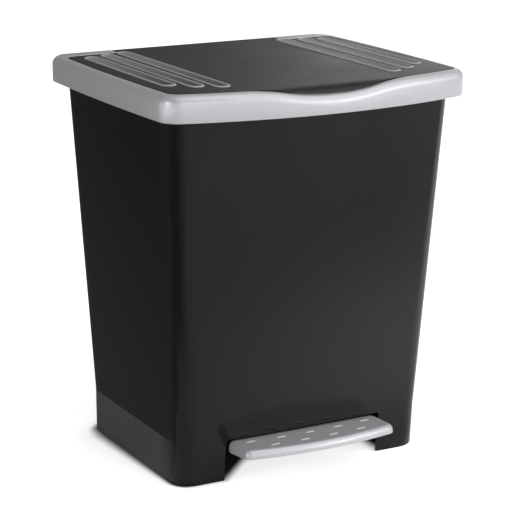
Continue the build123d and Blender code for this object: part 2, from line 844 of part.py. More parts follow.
# Pedal bracket: plate under the floor's bosses with two cheeks that hold the axle
with BuildPart() as pedal_bracket:
    with Locations((0, pivot_y, bracket_bottom)):
        Box(
            2 * (cheek_outer + bracket_flange),
            bracket_depth,
            bracket_plate_thickness,
            align=(Align.CENTER, Align.CENTER, Align.MIN),
        )
    for side in (-1, 1):
        with BuildSketch(Plane.YZ.offset(side * cheek_inner)):
            with Locations((pivot_y, pivot_z)):
                Circle(hub_radius)
                Rectangle(
                    2 * hub_radius, bracket_top - pivot_z, align=(Align.CENTER, Align.MIN)
                )
        extrude(amount=side * cheek_thickness)
    with BuildSketch(Plane.YZ):
        with Locations((pivot_y, pivot_z)):
            Circle(axle_radius + fixed_clearance)
    extrude(amount=reach, both=True, mode=Mode.SUBTRACT)
    with Locations(*[(x, y, bracket_bottom) for x, y in bracket_screw_places]):
        Cylinder(
            screw_radius + fixed_clearance, 2 * (bracket_plate_thickness + overshoot), mode=Mode.SUBTRACT
        )
save(pedal_bracket, "pedal_bracket")

bracket_screws = screw_group(bracket_screw_places, bracket_bottom, screw_hole_top)
save(bracket_screws, "bracket_screws")

# Pedal axle
with BuildPart() as pedal_axle:
    with BuildSketch(Plane.YZ):
        with Locations((pivot_y, pivot_z)):
            Circle(axle_radius)
    extrude(amount=cheek_outer + axle_overhang, both=True)
save(pedal_axle, "pedal_axle")
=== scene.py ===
import json
import math
from collections import namedtuple

import bpy
import numpy as np
from bpy.props import FloatProperty, FloatVectorProperty, PointerProperty
from mathutils import Matrix, Vector


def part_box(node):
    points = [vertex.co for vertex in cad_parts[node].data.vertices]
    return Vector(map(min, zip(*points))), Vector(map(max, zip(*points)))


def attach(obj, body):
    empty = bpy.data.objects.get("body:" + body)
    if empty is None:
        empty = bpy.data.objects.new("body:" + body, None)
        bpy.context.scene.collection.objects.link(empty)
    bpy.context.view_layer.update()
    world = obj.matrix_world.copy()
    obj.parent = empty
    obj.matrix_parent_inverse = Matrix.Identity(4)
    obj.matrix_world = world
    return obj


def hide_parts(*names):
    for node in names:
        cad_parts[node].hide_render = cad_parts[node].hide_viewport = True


bl_info = {
    "name": "Pedal bin",
    "version": (1, 0, 0),
    "blender": (4, 5, 0),
    "location": "View3D > Sidebar > Pedal bin",
    "description": "Moulded surfaces and finishes of a pedal bin, built round its packed frame",
    "category": "Add Mesh",
}

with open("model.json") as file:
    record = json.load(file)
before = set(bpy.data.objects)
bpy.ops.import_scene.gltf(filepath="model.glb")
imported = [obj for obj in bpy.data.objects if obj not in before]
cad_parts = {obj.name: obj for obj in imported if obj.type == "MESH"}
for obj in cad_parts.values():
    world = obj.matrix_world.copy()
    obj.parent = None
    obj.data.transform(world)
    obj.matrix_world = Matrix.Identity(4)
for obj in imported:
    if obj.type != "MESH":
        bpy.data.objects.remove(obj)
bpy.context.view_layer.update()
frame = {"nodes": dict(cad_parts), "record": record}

RIM_LOW, RIM_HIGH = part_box("rim_frame")
BUCKET_LOW, BUCKET_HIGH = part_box("inner_bucket")
PIN_LOW, PIN_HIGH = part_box("hinge_pin_right")
BRACKET_LOW, BRACKET_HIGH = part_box("pedal_bracket")


def length(name, description, default):
    """A property that holds a length in metres, or a row of lengths."""
    options = {"name": name, "description": description, "default": default, "unit": "LENGTH", "precision": 5}
    if isinstance(default, tuple):
        return FloatVectorProperty(size=len(default), **options)
    return FloatProperty(subtype="DISTANCE", **options)


def angle(name, description, degrees):
    """A property that holds an angle."""
    turn = math.radians(degrees)
    return FloatProperty(name=name, description=description, default=turn, subtype="ANGLE", unit="ROTATION")


def power(name, description, default):
    """A property that holds a lamp's power in watts."""
    return FloatProperty(name=name, description=description, default=default, unit="POWER")


def colour(name, description, default):
    """A property that holds a scene-linear colour."""
    return FloatVectorProperty(
        name=name, description=description, default=default, size=3, min=0.0, max=1.0, subtype="COLOR"
    )


def number(name, description, default):
    """A property that holds a plain number."""
    return FloatProperty(name=name, description=description, default=default, precision=4)


def factor(name, description, default):
    """A property that holds a share of 1."""
    return FloatProperty(
        name=name, description=description, default=default, min=0.0, max=1.0, subtype="FACTOR", precision=3
    )


class RimSizes(bpy.types.PropertyGroup):
    """Outline and section of the silver rim frame"""

    side_bow: length("Side bow", "How far each side bows out", 0.003)
    front_bow: length("Front bow", "How far the front bows out", 0.026)
    corner: length("Corner", "Radius of the outer corners", 0.021)
    wall: length("Wall", "Thickness of the band", 0.003)
    shoulder_width: length("Shoulder width", "Width of the curve over the band's top", 0.0085)
    shoulder_height: length("Shoulder height", "Height of that curve", 0.0085)
    edge_round: length("Edge round", "Radius of the small edges", 0.0007)
    land_width: length("Land", "Width of the band's top at the front and sides", 0.009)
    land_back: length("Back land", "Width of the band's top at the back", 0.025)
    land_thickness: length("Land thickness", "Thickness of the band's top", 0.003)
    riser_wall: length("Riser", "Thickness of the wall down to the ledge", 0.0015)
    riser_tuck: length("Riser tuck", "How far the riser reaches in under the ledge", 0.0005)
    ledge_drop: length("Ledge drop", "Ledge below the rim's top", 0.0041)
    ledge_width: length("Ledge", "Width of the ledge under the lid", 0.009)
    ledge_thickness: length("Ledge thickness", "Thickness of the ledge", 0.003)
    opening_corner: length("Opening corner", "Corner radius of the opening", 0.016)
    rib_wall: length("Rib", "Thickness of the rib round the opening", 0.002)
    rib_depth: length("Rib depth", "Depth of that rib below the ledge", 0.008)
    rib_gap: length("Rib gap", "Half length of the gap in that rib beside each finger dip", 0.052)
    dip_half_width: length("Dip half width", "Half width of the dip in the front", 0.095)
    dip_depth: length("Dip depth", "Depth of the dip in the front", 0.0076)
    hinge_floor: length("Hinge floor", "Height of the strip under the hinge", 0.3785)
    hinge_half: length("Hinge half width", "Half width of the gap for the hinge barrel", 0.0955)
    boss_length: length("Boss length", "Length of each pin boss", 0.0165)


class LidSizes(bpy.types.PropertyGroup):
    """Panel, lip, hinge barrel and raised loops of the lid"""

    thickness: length("Thickness", "Thickness of the panel", 0.0035)
    side_gap: length("Side gap", "Gap to the rim at the sides", 0.0004)
    back_gap: length("Back gap", "Gap to the rim at the back", 0.0022)
    lip_inset: length("Lip inset", "Lip behind the rim's front", 0.005)
    lip_thickness: length("Lip thickness", "Thickness of the lip's skirt", 0.0022)
    lip_gap: length("Lip gap", "Gap between the lip and the rim's dip", 0.0005)
    lip_half_width: length("Lip half width", "Half width of the full lip", 0.036)
    lip_taper: length("Lip taper", "Length over which each end of the lip runs out", 0.042)
    lip_roll: length("Lip roll", "How far in from its front the lip starts to roll down", 0.014)
    edge_round: length("Edge round", "Radius of the panel's top edge", 0.0010)
    barrel_radius: length("Barrel radius", "Outer radius of the hinge barrel", 0.0095)
    barrel_half: length("Barrel half length", "Half length of the hinge barrel", 0.0945)
    barrel_wall: length("Barrel wall", "Wall of the barrel's hollow middle", 0.003)
    barrel_slot: length("Barrel slot", "Width of the slot under the barrel", 0.008)
    barrel_plug: length("Barrel plug", "Length of each solid barrel end", 0.024)
    loop_centres: length("Loop centres", "Distance of each loop from the middle", (0.0936, 0.1150, 0.1354))
    loop_fronts: length("Loop fronts", "Front end of each loop", (-0.111, -0.100, -0.082))
    loop_backs: length("Loop backs", "Back end of each loop", (0.126, 0.119, 0.112))
    loop_width: length("Loop width", "Overall width of a loop", 0.0162)
    loop_bead: length("Loop bead", "Width of the bead that forms a loop", 0.0026)
    loop_height: length("Loop height", "Height of the bead over the panel", 0.0013)
    pad_height: length("Pad height", "Height of the pad inside a loop", 0.0004)
    # How much painted sheen a pad shows at its front and at its back
    pad_front_share: factor("Pad front share", "Share of the loops' grey at a pad's front", 0.06)
    pad_back_share: factor("Pad back share", "Share of the loops' grey at a pad's back", 0.65)


class BodySizes(bpy.types.PropertyGroup):
    """Tapered outer body with its skirt, floor plate and pedal notch"""

    wall_inset: length("Wall inset", "Mouth of the wall inside the rim", 0.012)
    wall: length("Wall", "Thickness of the wall", 0.0025)
    foot_half_width: length("Foot half width", "Half width at the foot", 0.1363)
    foot_side_bow: length("Foot side bow", "Bow of the sides at the foot", 0.0003)
    foot_back: length("Foot back", "Back of the foot", 0.1225)
    foot_front: length("Foot front", "Front of the foot", -0.091)
    foot_front_bow: length("Foot front bow", "Bow of the front at the foot", 0.0005)
    corner: length("Corner", "Radius of the upright corners", 0.020)
    skirt_height: length("Skirt height", "Height of the upright skirt", 0.0445)
    # Where the painted reflection on the skirt's ends lies: a lighter tone with a matt roughness
    matt_out: length("Matt out", "Start and full of the matt ends, inside the foot's side", (0.008, 0.002))
    matt_start: length("Matt start", "Start of the matt ends behind the foot's front", 0.004)
    matt_full: length("Matt full", "Where they are full, behind the front corner", 0.024)
    matt_front: factor("Matt front", "Share of the matt finish at their front", 0.7)
    edge_round: length("Edge round", "Radius of the wall's edges", 0.0006)
    floor_top: length("Floor", "Height of the floor plate", 0.0525)
    floor_thickness: length("Floor thickness", "Thickness of the floor plate", 0.0025)
    notch_half_width: length("Notch half width", "Half width of the pedal notch", 0.088)
    notch_height: length("Notch height", "Height of the pedal notch", 0.044)
    notch_corner: length("Notch corner", "Radius of the notch's upper corners", 0.004)
    hinge_notch_half: length("Hinge notch half width", "Half width of the low part of the back", 0.1135)
    hinge_notch_floor: length("Hinge notch floor", "Height of the low part of the back", 0.378)
    boss_radius: length("Boss radius", "Radius of the bracket bosses", 0.0045)
    boss_inset: length("Boss inset", "Bosses inside the bracket's edges", 0.006)


class BucketSizes(bpy.types.PropertyGroup):
    """Inner bucket with its lip and finger dips"""

    wall: length("Wall", "Thickness of the wall", 0.002)
    foot_gap: length("Foot gap", "Gap to the body's wall at the foot", 0.0075)
    mouth_gap: length("Mouth gap", "Gap to the body's wall at the mouth", 0.012)
    foot_back: length("Foot back", "Back of the foot", 0.0988)
    corner: length("Corner", "Radius of the upright corners", 0.018)
    foot_round: length("Foot round", "Radius of the foot's edge", 0.004)
    lip_width: length("Lip width", "How far the lip stands out", 0.004)
    lip_thickness: length("Lip thickness", "Thickness of the lip", 0.0025)
    grip_half_width: length("Grip half width", "Half width of a finger dip", 0.045)
    grip_depth: length("Grip depth", "Depth of a finger dip", 0.016)


class TreadSizes(bpy.types.PropertyGroup):
    """Pedal tread on its tilted plane"""

    tilt: angle("Tilt", "Rise of the tread to the front", 6.0)
    back_y: length("Place", "Where the tread's plane starts", -0.092)
    top_z: length("Height", "Height of the tread's plane there", 0.0385)
    half_width: length("Half width", "Half width of the tread", 0.084)
    side_bow: length("Side bow", "Bow of the ends", 0.0003)
    back: length("Back", "Back edge on the plane", 0.004)
    front: length("Front", "Front corners on the plane", -0.040)
    front_bow: length("Front bow", "Bow of the front edge", 0.0115)
    corner: length("Corner", "Radius of the corners", 0.007)
    thickness: length("Thickness", "Depth of the tread", 0.0085)
    top_round: length("Top round", "How far in the curve over the top edge reaches", 0.0045)
    top_fall: length("Top fall", "How far down that curve reaches", 0.0062)
    back_rise: length("Back rise", "How far the top's back stands over its plane", 0.0029)
    wall: length("Wall", "Wall of the hollow underside", 0.0022)
    bar_half_width: length("Bar gap", "Half width of the gap for the lever's bar", 0.0185)
    bar_gap_depth: length("Bar gap depth", "Top of that gap under the tread's top", 0.0045)
    dash_pitch: length("Dash pitch", "Distance between dashes", 0.0325)
    dash_length: length("Dash length", "Length of a dash", 0.0105)
    dash_width: length("Dash width", "Width of a dash", 0.0034)
    dash_height: length("Dash height", "Height of a dash", 0.0005)
    dash_back_row: length("Back row", "Ends of the back row of five", -0.0100)
    dash_front_row: length("Front row", "Ends of the front row of four", -0.029)
    dash_row_bow: length("Row bow", "How far a row bows to the front", 0.006)


class Finishes(bpy.types.PropertyGroup):
    """Colours of the mouldings and fittings"""

    body: colour("Body", "Black of the outer body", (0.0042, 0.0042, 0.0044))
    bucket: colour("Bucket", "Black of the inner bucket", (0.016, 0.016, 0.017))
    lid: colour("Lid", "Dark grey of the lid", (0.014, 0.014, 0.0143))
    # Painted highlight on the loops' beads and painted sheen on their pads, as a lighter grey
    loops: colour("Loops", "Lighter grey of the lid's loops", (0.43, 0.43, 0.435))
    # Painted reflection: the lighter tone painted on the skirt's ends, where the upright skirt mirrors the
    # bright floor
    skirt: colour("Skirt", "Matt ends of the body's skirt", (0.09, 0.09, 0.091))
    silver: colour("Silver", "Silver of the rim and the tread", (0.58, 0.59, 0.61))
    # Painted highlight on the tread's dashes, as a lighter tone
    dashes: colour("Dashes", "Rubbed tops of the tread's dashes", (0.82, 0.82, 0.83))
    guide: colour("Guides", "Grey of the hidden mouldings", (0.045, 0.046, 0.048))
    steel: colour("Steel", "Rod, axle, pins and screws", (0.55, 0.55, 0.54))
    rubber: colour("Rubber", "Lid buffers", (0.03, 0.03, 0.03))


class Studio(bpy.types.PropertyGroup):
    """Floor, light and camera"""

    floor: colour("Floor", "Pale floor", (0.80, 0.80, 0.80))
    floor_half: length("Floor half width", "Half width of the floor", 15.0)
    floor_white: factor("Floor white", "Light added to the floor as it is seen", 0.76)
    white_reach: length("White reach", "Distance from the foot at which the floor is white", 0.5)
    floor_shade: colour("Floor shade", "Floor under the bin", (0.07, 0.07, 0.07))
    shade_front: length("Shade front", "Front of the unlit floor under the bin", -0.035)
    shade_slant: length("Shade slant", "Where the slanted edge of that floor meets the middle", -0.0055)
    shade_right: length("Shade right", "Right end of the lit floor in the notch", 0.0915)
    shade_soft: length("Shade softness", "Half width of its soft edges", 0.0095)
    shade_near: length("Shade near", "How far the shade reaches out at the front of the foot", 0.006)
    shade_far: length("Shade far", "How far the shade reaches out beside the foot", 0.022)
    shade_back: length("Shade back", "How far the shade reaches out behind the foot", 0.011)
    shade_light_side: factor("Shade light side", "Share of the shade's reach on the right", 0.2)
    shade_sides: length("Shade sides", "Between where and where the reach falls to that share", (-0.1, 0.1))
    tail_reach: number("Tail reach", "Reach of the shade's faint tail over its own", 2.3)
    tail_share: factor("Tail share", "Share of the shade in that tail", 0.14)
    # Mirrored views of the floor: light added to the body's reflections, and painted shade in those
    # reflections on the right and in front of the right foot
    floor_mirrored: factor("Floor mirrored", "Share of the added light in mirrored views", 0.83)
    mirror_across: length("Mirror across", "Start and full of that share, to the right", (-0.3, 0.4))
    mirror_along: length("Mirror along", "Start and full of that share, to the bin", (-0.55, -0.2))
    mirror_left: length("Mirror left", "Where they see the full light again, far to the left", (-0.6, -1.2))
    mirror_dim: factor("Mirror dim", "Share of the floor on the right that mirrored views lose", 0.15)
    dim_along: length("Dim along", "Full and end of that loss, to the bin", (-0.4, -0.27))
    dim_aside: length("Dim aside", "Start and full of that loss, past a slant", (-0.15, 0.1))
    dim_slope: number("Dim slope", "Slope of that slant", 0.8)
    mirror_foot: factor("Mirror foot", "Share that they lose in front of the right foot", 0.24)
    foot_along: length("Foot along", "Start and full of that loss, to the bin", (-0.2, -0.12))
    foot_across: length("Foot across", "Start and full of that loss, to the right", (0.0, 0.1))
    card_place: length("Card place", "Where the cards stand, left of the bin", -0.215)
    card_ends: length("Card ends", "Front and back of the left card", (-0.06, 1.6))
    card_heights: length("Card heights", "Foot and top of the left card", (0.001, 0.8))
    corner_ends: length("Corner card ends", "Front and back of the corner card", (-0.25, -0.06))
    corner_heights: length("Corner card heights", "Foot and top of the corner card", (0.04, 0.352))
    card_low: number("Card low", "Glow of the cards at the floor", 0.125)
    card_high: number("Card high", "Glow of the cards at the body's top", 0.075)
    card_high_at: length("Card high at", "Height from which they glow so", 0.3)
    card_front: number("Card front", "Glow added to the front part of the cards", 0.07)
    front_along: length("Front along", "Start and full of that glow, to the front", (0.06, -0.04))
    card_edge: number("Card edge", "Glow at the front edges of the cards", 0.5)
    edge_along: length("Edge along", "Start and full of that glow, to the front", (-0.05, -0.24))
    low_edge_along: length("Low edge along", "The same near the floor", (-0.05, -0.11))
    low_edge_up: length("Low edge up", "Start and full of that glow, to the floor", (0.22, 0.04))
    ambient: number("Ambient", "Strength of the even light all round", 0.23)
    light_target: length("Light target", "What every softbox looks at", (0.0, 0.0, 0.25))
    key_power: power("Key", "Power of the front softbox", 20.0)
    fill_power: power("Fill", "Power of the second front softbox", 6.0)
    top_power: power("Top", "Power of the overhead softbox", 21.0)
    strip_power: power("Strip", "Power of the left strip light", 8.0)
    back_power: power("Back", "Power of the softbox behind", 2.6)
    azimuth: angle("Azimuth", "Camera's turn round the bin", -28.507)
    elevation: angle("Elevation", "Camera above the horizon", 15.666)
    camera_place: length("Camera", "Where the camera stands", (-0.9120, -1.7106, 0.7099))
    lens: FloatProperty(name="Lens", description="Focal length in millimetres", default=135.3, unit="CAMERA")
    shift_x: number("Shift x", "Sideways shift of the frame", -0.026)
    shift_y: number("Shift y", "Upward shift of the frame", 0.0507)


class BinSettings(bpy.types.PropertyGroup):
    """All settings of the pedal bin"""

    rim: PointerProperty(name="Rim", description="Rim frame", type=RimSizes)
    lid: PointerProperty(name="Lid", description="Lid", type=LidSizes)
    body: PointerProperty(name="Body", description="Outer body", type=BodySizes)
    bucket: PointerProperty(name="Bucket", description="Inner bucket", type=BucketSizes)
    tread: PointerProperty(name="Tread", description="Pedal tread", type=TreadSizes)
    finishes: PointerProperty(name="Finishes", description="Colours", type=Finishes)
    studio: PointerProperty(name="Studio", description="Stage", type=Studio)


# Outlines seen from above

Plan = namedtuple("Plan", "half_width side_bow back front front_bow corner")
Plans = namedtuple("Plans", "rim pocket opening lid foot mouth")
Edge = namedtuple("Edge", "x y normal_x normal_y")

MID_ROUND = 0.3  # how far in the middle of a small round lies, as a share of its radius
HAIR = 0.1  # share of a small round that keeps two rings apart
CREASE = math.radians(32)  # edges that turn further than this stay sharp


def arc_bow(radius, half_chord):
    """Height of an arc over its chord: the radius less the centre's distance from the chord."""
    return radius - np.sqrt(radius**2 - half_chord**2)


def arc_radius(half_chord, bow):
    """Radius over a chord: half chord squared plus bow squared, over twice the bow."""
    return (half_chord**2 + bow**2) / (2 * bow)


def inset_plan(plan, inset):
    """The parallel outline inside another: each edge moves inwards, and each arc keeps its centre."""
    half_width = plan.half_width - inset
    front_bow = arc_bow(arc_radius(plan.half_width, plan.front_bow) - inset, half_width)
    front = plan.front - plan.front_bow + inset + front_bow
    side_radius = arc_radius((plan.back - plan.front) / 2, plan.side_bow) - inset
    side_bow = arc_bow(side_radius, (plan.back - inset - front) / 2)
    half_width = plan.half_width + plan.side_bow - inset - side_bow
    return Plan(half_width, side_bow, plan.back - inset, front, front_bow, plan.corner - inset)


def mixed_plan(low, high, share):
    """The outline at a share of the way from a low outline to a high one."""
    return Plan(*(a + (b - a) * share for a, b in zip(low, high)))


def bin_plans(settings):
    """The rim's outline from the frame's box, and the outlines inside it."""
    rim, lid, body = settings.rim, settings.lid, settings.body
    sides, front = (RIM_HIGH.x - rim.side_bow, rim.side_bow), (RIM_LOW.y + rim.front_bow, rim.front_bow)
    outer = Plan(*sides, RIM_HIGH.y, *front, rim.corner)
    pocket = inset_plan(outer, rim.land_width)._replace(back=outer.back - rim.land_back)
    opening = inset_plan(pocket, rim.ledge_width)._replace(corner=rim.opening_corner)
    panel = inset_plan(pocket, lid.side_gap)._replace(back=pocket.back - lid.back_gap)
    sides, front = (body.foot_half_width, body.foot_side_bow), (body.foot_front, body.foot_front_bow)
    foot = Plan(*sides, body.foot_back, *front, body.corner)
    mouth = inset_plan(outer, body.wall_inset)._replace(corner=body.corner)
    return Plans(outer, pocket, opening, panel, foot, mouth)


def front_corner(plan):
    """Centres, radii and end angles of an outline's arcs.

    A corner circle touches two edges from inside, so its centre lies at each edge's radius less the corner's
    from that edge's centre: where two such circles cross, or at the corner's radius from a straight edge.
    """
    middle = (plan.back + plan.front) / 2
    side_radius = arc_radius((plan.back - plan.front) / 2, plan.side_bow)
    side_x = plan.half_width + plan.side_bow - side_radius
    front_radius = arc_radius(plan.half_width, plan.front_bow)
    front_y = plan.front - plan.front_bow + front_radius
    back_y = plan.back - plan.corner
    back_x = side_x + np.sqrt((side_radius - plan.corner) ** 2 - (back_y - middle) ** 2)
    gap_x, gap_y = -side_x, front_y - middle
    gap = np.hypot(gap_x, gap_y)
    reach = side_radius - plan.corner
    along = (reach**2 - (front_radius - plan.corner) ** 2 + gap**2) / (2 * gap)
    across = np.sqrt(reach**2 - along**2)
    corner_x = side_x + (along * gap_x + across * gap_y) / gap
    corner_y = middle + (along * gap_y - across * gap_x) / gap
    centres_x = (0.0, corner_x, side_x, back_x)
    centres_y = (front_y, corner_y, middle, back_y)
    radii = (front_radius, plan.corner, side_radius, plan.corner)
    turns = (
        0.0,
        np.arctan2(corner_x, front_y - corner_y),
        np.arctan2(corner_x - side_x, middle - corner_y),
        np.arctan2(back_x - side_x, middle - back_y),
        np.pi,
    )
    return centres_x, centres_y, radii, turns


def outline(plan, station, back_end=0.0):
    """Points and outward normals round an outline.

    Station 0 is the middle of the front. 0 to 1 is the front arc, 1 to 2 the front corner, 2 to 3 the side
    arc, 3 to 4 the back corner, and 4 to 5 the straight back as far in as back_end. Negative stations are the
    left half. On an arc the normal turns evenly, and a point is the centre plus the radius times the normal.
    """
    centres_x, centres_y, radii, turns = front_corner(plan)
    step = np.abs(station)
    hand = np.where(station < 0, -1.0, 1.0)
    part = np.minimum(np.floor(step), 4).astype(int)
    share = step - part
    start = np.choose(part, turns)
    turn = start + (np.choose(part, turns[1:] + (np.pi,)) - start) * share
    back_x = centres_x[3] + (back_end - centres_x[3]) * share
    radius = np.choose(part, radii + (0.0,))
    x = np.choose(part, centres_x + (back_x,)) + radius * np.sin(turn)
    y = np.choose(part, centres_y + (plan.back,)) - radius * np.cos(turn)
    return Edge(hand * x, y, hand * np.sin(turn), -np.cos(turn))


def front_station(plan, x):
    """The station on the front arc at a distance from the middle: its angle over that at the arc's end."""
    turns = front_corner(plan)[3]
    return np.arcsin(x / arc_radius(plan.half_width, plan.front_bow)) / turns[1]


def stations(*counts):
    """Stations from the middle of the front to the middle of the back, with so many steps to each part."""
    parts = [i + np.arange(1, count + 1) / count for i, count in enumerate(counts)]
    return np.concatenate([[0.0]] + parts)


def both_hands(half):
    """A right half's stations with the mirrored left half before them."""
    return np.concatenate([-half[:0:-1], half])


def ring(edge, inset, height):
    """Points at an inset from an edge, along its normals, at a height."""
    x = edge.x - inset * edge.normal_x
    y = edge.y - inset * edge.normal_y
    return np.stack(np.broadcast_arrays(x, y, height), axis=-1)


def drawn_in(points, share, middle=(0.0, 0.0)):
    """A ring drawn in, seen from above, to a share of its distance from a middle."""
    points[:, :2] = middle + (points[:, :2] - middle) * share
    return points


def smooth_step(low, high, value):
    """0 below low, 1 above high, and between them 3 t squared less 2 t cubed."""
    t = np.clip((value - low) / (high - low), 0.0, 1.0)
    return t * t * (3 - 2 * t)


def dip_drop(rim, x, y):
    """Drop of the rim's top: in front a wave of arcs of one radius that meet halfway, elsewhere nothing."""
    half = rim.dip_half_width / 2
    radius = arc_radius(half, rim.dip_depth / 2)
    distance = np.abs(x)
    middle = rim.dip_depth - arc_bow(radius, np.minimum(distance, half))
    shoulder = arc_bow(radius, np.clip(2 * half - distance, 0.0, half))
    return np.where(y < 0, np.where(distance < half, middle, shoulder), 0.0)


def mouth_height(rim):
    """Height of the body's mouth: the underside of the rim's ledge."""
    return RIM_HIGH.z - rim.ledge_drop - rim.ledge_thickness


def quarter_turn(steps):
    """Evenly spread angles of a quarter turn."""
    return np.linspace(0.0, np.pi / 2, steps + 1)


def rounded(edge, inset, width, height, fall, steps):
    """Rings over a rounded edge, from its side to its top.

    Through a quarter turn the inset grows by the width times 1 less the cosine, and the ring lies under the
    height by the fall times 1 less the sine.
    """
    cosine, sine = np.cos(quarter_turn(steps)), np.sin(quarter_turn(steps))
    return [ring(edge, inset + width * (1 - c), height - fall * (1 - s)) for c, s in zip(cosine, sine)]


# Grids into meshes


def shell(points, around=True, along=True, poles=None, caps=False):
    """Joins a grid of points, rows of a profile by columns of a path, into one closed surface.

    Each four neighbours are a face. around joins the last column to the first, along the last row to the
    first. poles closes the first and last row with a fan to a point each, and caps closes both end columns.
    The result is the points and the faces, in one array for each kind of face.
    """
    rows, columns = points.shape[:2]
    index = np.arange(rows * columns).reshape(rows, columns)
    looped = np.concatenate([index, index[:, :1]], axis=1) if around else index
    looped = np.concatenate([looped, looped[:1]], axis=0) if along else looped
    quads = np.stack([looped[:-1, :-1], looped[:-1, 1:], looped[1:, 1:], looped[1:, :-1]], axis=-1)
    faces = [quads.reshape(-1, 4)]
    vertices = points.reshape(-1, 3)
    if poles is not None:
        first = np.full(looped.shape[1] - 1, len(vertices))
        faces += [np.stack([first, looped[0, 1:], looped[0, :-1]], axis=-1)]
        faces += [np.stack([first + 1, looped[-1, :-1], looped[-1, 1:]], axis=-1)]
        vertices = np.concatenate([vertices, np.array(poles, float)])
    if caps:
        faces += [index[:, :1].T, index[::-1, -1:].T]
    return vertices, faces


def make_piece(name, shells, slot, body, node, painted_highlights=None):
    """One object from closed surfaces, with its slot's finish, riding on a body in the place of a frame node.

    The last argument gives each surface a number, or one for each of its points, which its finish reads as a
    point
    attribute: the share of painted highlight or sheen there.
    """
    counts = np.cumsum([0] + [len(vertices) for vertices, _ in shells])
    vertices = np.concatenate([vertices for vertices, _ in shells])
    batches = [batch + first for first, (_, some) in zip(counts, shells) for batch in some]
    faces = [face for batch in batches for face in batch.tolist()]
    mesh = bpy.data.meshes.new(name)
    mesh.from_pydata(vertices.tolist(), [], faces)
    if mesh.validate():
        raise RuntimeError(f"{name} has faces that can't stand")
    mesh.shade_smooth()
    mesh.set_sharp_from_angle(angle=CREASE)
    mesh.materials.append(finish_for(slot))
    if painted_highlights is not None:
        values = np.concatenate([np.broadcast_to(painted_highlight, n) for painted_highlight, n in zip(painted_highlights, np.diff(counts))])
        mesh.attributes.new("painted_highlight", "FLOAT", "POINT").data.foreach_set("value", values)
    piece = bpy.data.objects.new(name, mesh)
    bpy.context.scene.collection.objects.link(piece)
    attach(piece, body)
    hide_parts(node)


def turned(profile, centre, steps):
    """A closed loop of (x, radius) points turned round an axis along x through a centre (y, z)."""
    turn = np.linspace(0.0, 2 * np.pi, steps, endpoint=False)
    x, radius = np.array(profile, float).T[:, :, None]
    y = centre[0] + radius * np.cos(turn)
    z = centre[1] + radius * np.sin(turn)
    return np.stack(np.broadcast_arrays(x, y, z), axis=-1)[::-1]


def block(low, high, bevel):
    """A block with bevelled edges: a bevelled rectangle carried along x, drawn in a little at both ends."""
    end_share = 0.7
    (x0, y0, z0), (x1, y1, z1) = low, high
    y = np.array([y0 + bevel, y1 - bevel, y1, y1, y1 - bevel, y0 + bevel, y0, y0])
    z = np.array([z0, z0, z0 + bevel, z1 - bevel, z1, z1, z1 - bevel, z0 + bevel])
    middle_y, middle_z = (y0 + y1) / 2, (z0 + z1) / 2
    x = np.array([x0, x0 + bevel, x1 - bevel, x1])
    draw = np.array([bevel, 0.0, 0.0, bevel])
    ys = y[:, None] - np.sign(y - middle_y)[:, None] * draw * end_share
    zs = z[:, None] - np.sign(z - middle_z)[:, None] * draw * end_share
    return np.stack(np.broadcast_arrays(x, ys, zs), axis=-1)


# Pieces


def rim_band(rim, plans):
    """The rim's section carried round its outline from one hinge boss to the other.

    Outside the band it rises, turns over most of a quarter round to the land, and steps down to the ledge.
    Where the dip is lower than the ledge, a riser stands up to it. Inside it comes back under ledge and land.
    """
    station = both_hands(stations(56, 10, 30, 10, 4))
    outer = outline(plans.rim, station, rim.hinge_half)
    pocket = outline(plans.pocket, station, rim.hinge_half)
    opening = outline(plans.opening, station, rim.hinge_half)
    top, bottom = RIM_HIGH.z, RIM_LOW.z
    ledge = top - rim.ledge_drop
    ledge_under = ledge - rim.ledge_thickness
    small = rim.edge_round
    mid, hair = MID_ROUND * small, HAIR * small

    def under_top(edge, inset, fall, floor=0.0):
        """A ring on the rim's top, less a fall, and nowhere under a floor."""
        points = ring(edge, inset, 0.0)
        drop = dip_drop(rim, points[:, 0], points[:, 1])
        points[:, 2] = np.maximum(top - drop - fall, floor)
        return points

    shoulder_turn = np.radians(72.0)
    over = [
        under_top(outer, rim.shoulder_width * (1 - math.cos(a)), rim.shoulder_height * (1 - math.sin(a)))
        for a in np.linspace(0.0, shoulder_turn, 10)
    ]
    # the side arc runs from station 2 to 3
    beside_grip = (np.abs(station) > 2.0) & (np.abs(station) < 3.0) & (np.abs(opening.y) < rim.rib_gap)
    rib_foot = ledge_under - np.where(beside_grip, hair, rim.rib_depth)
    riser_foot = np.where(pocket.y < 0, top - rim.dip_depth - rim.land_thickness, ledge_under)
    rows = [ring(outer, small, bottom), ring(outer, mid, bottom + mid), ring(outer, 0.0, bottom + small)]
    rows += over
    rows += [
        under_top(pocket, -rim.riser_wall - mid, 0.0),
        under_top(pocket, -rim.riser_wall, 0.0, ledge - mid),
        under_top(pocket, -rim.riser_wall + 0.5 * small, 0.0, ledge),
        under_top(pocket, -small, 0.0, ledge),
        under_top(pocket, -mid, mid, ledge),
        under_top(pocket, 0.0, small, ledge),
        ring(pocket, hair, ledge),
        ring(opening, -small, ledge),
        ring(opening, 0.0, ledge - small),
        ring(opening, 0.0, rib_foot),
        ring(opening, -rim.rib_wall, rib_foot - hair / 2),
        ring(opening, -rim.rib_wall, ledge_under),
        ring(pocket, rim.riser_tuck, ledge_under),
        ring(pocket, rim.riser_tuck - hair, riser_foot - hair),
        ring(pocket, -rim.riser_wall, riser_foot - hair),
        under_top(pocket, -rim.riser_wall - hair, rim.land_thickness),
        under_top(outer, rim.wall, rim.land_thickness),
        ring(outer, rim.wall, bottom + small),
        ring(outer, rim.wall - small, bottom),
    ]
    return shell(np.stack(rows), around=False, caps=True)


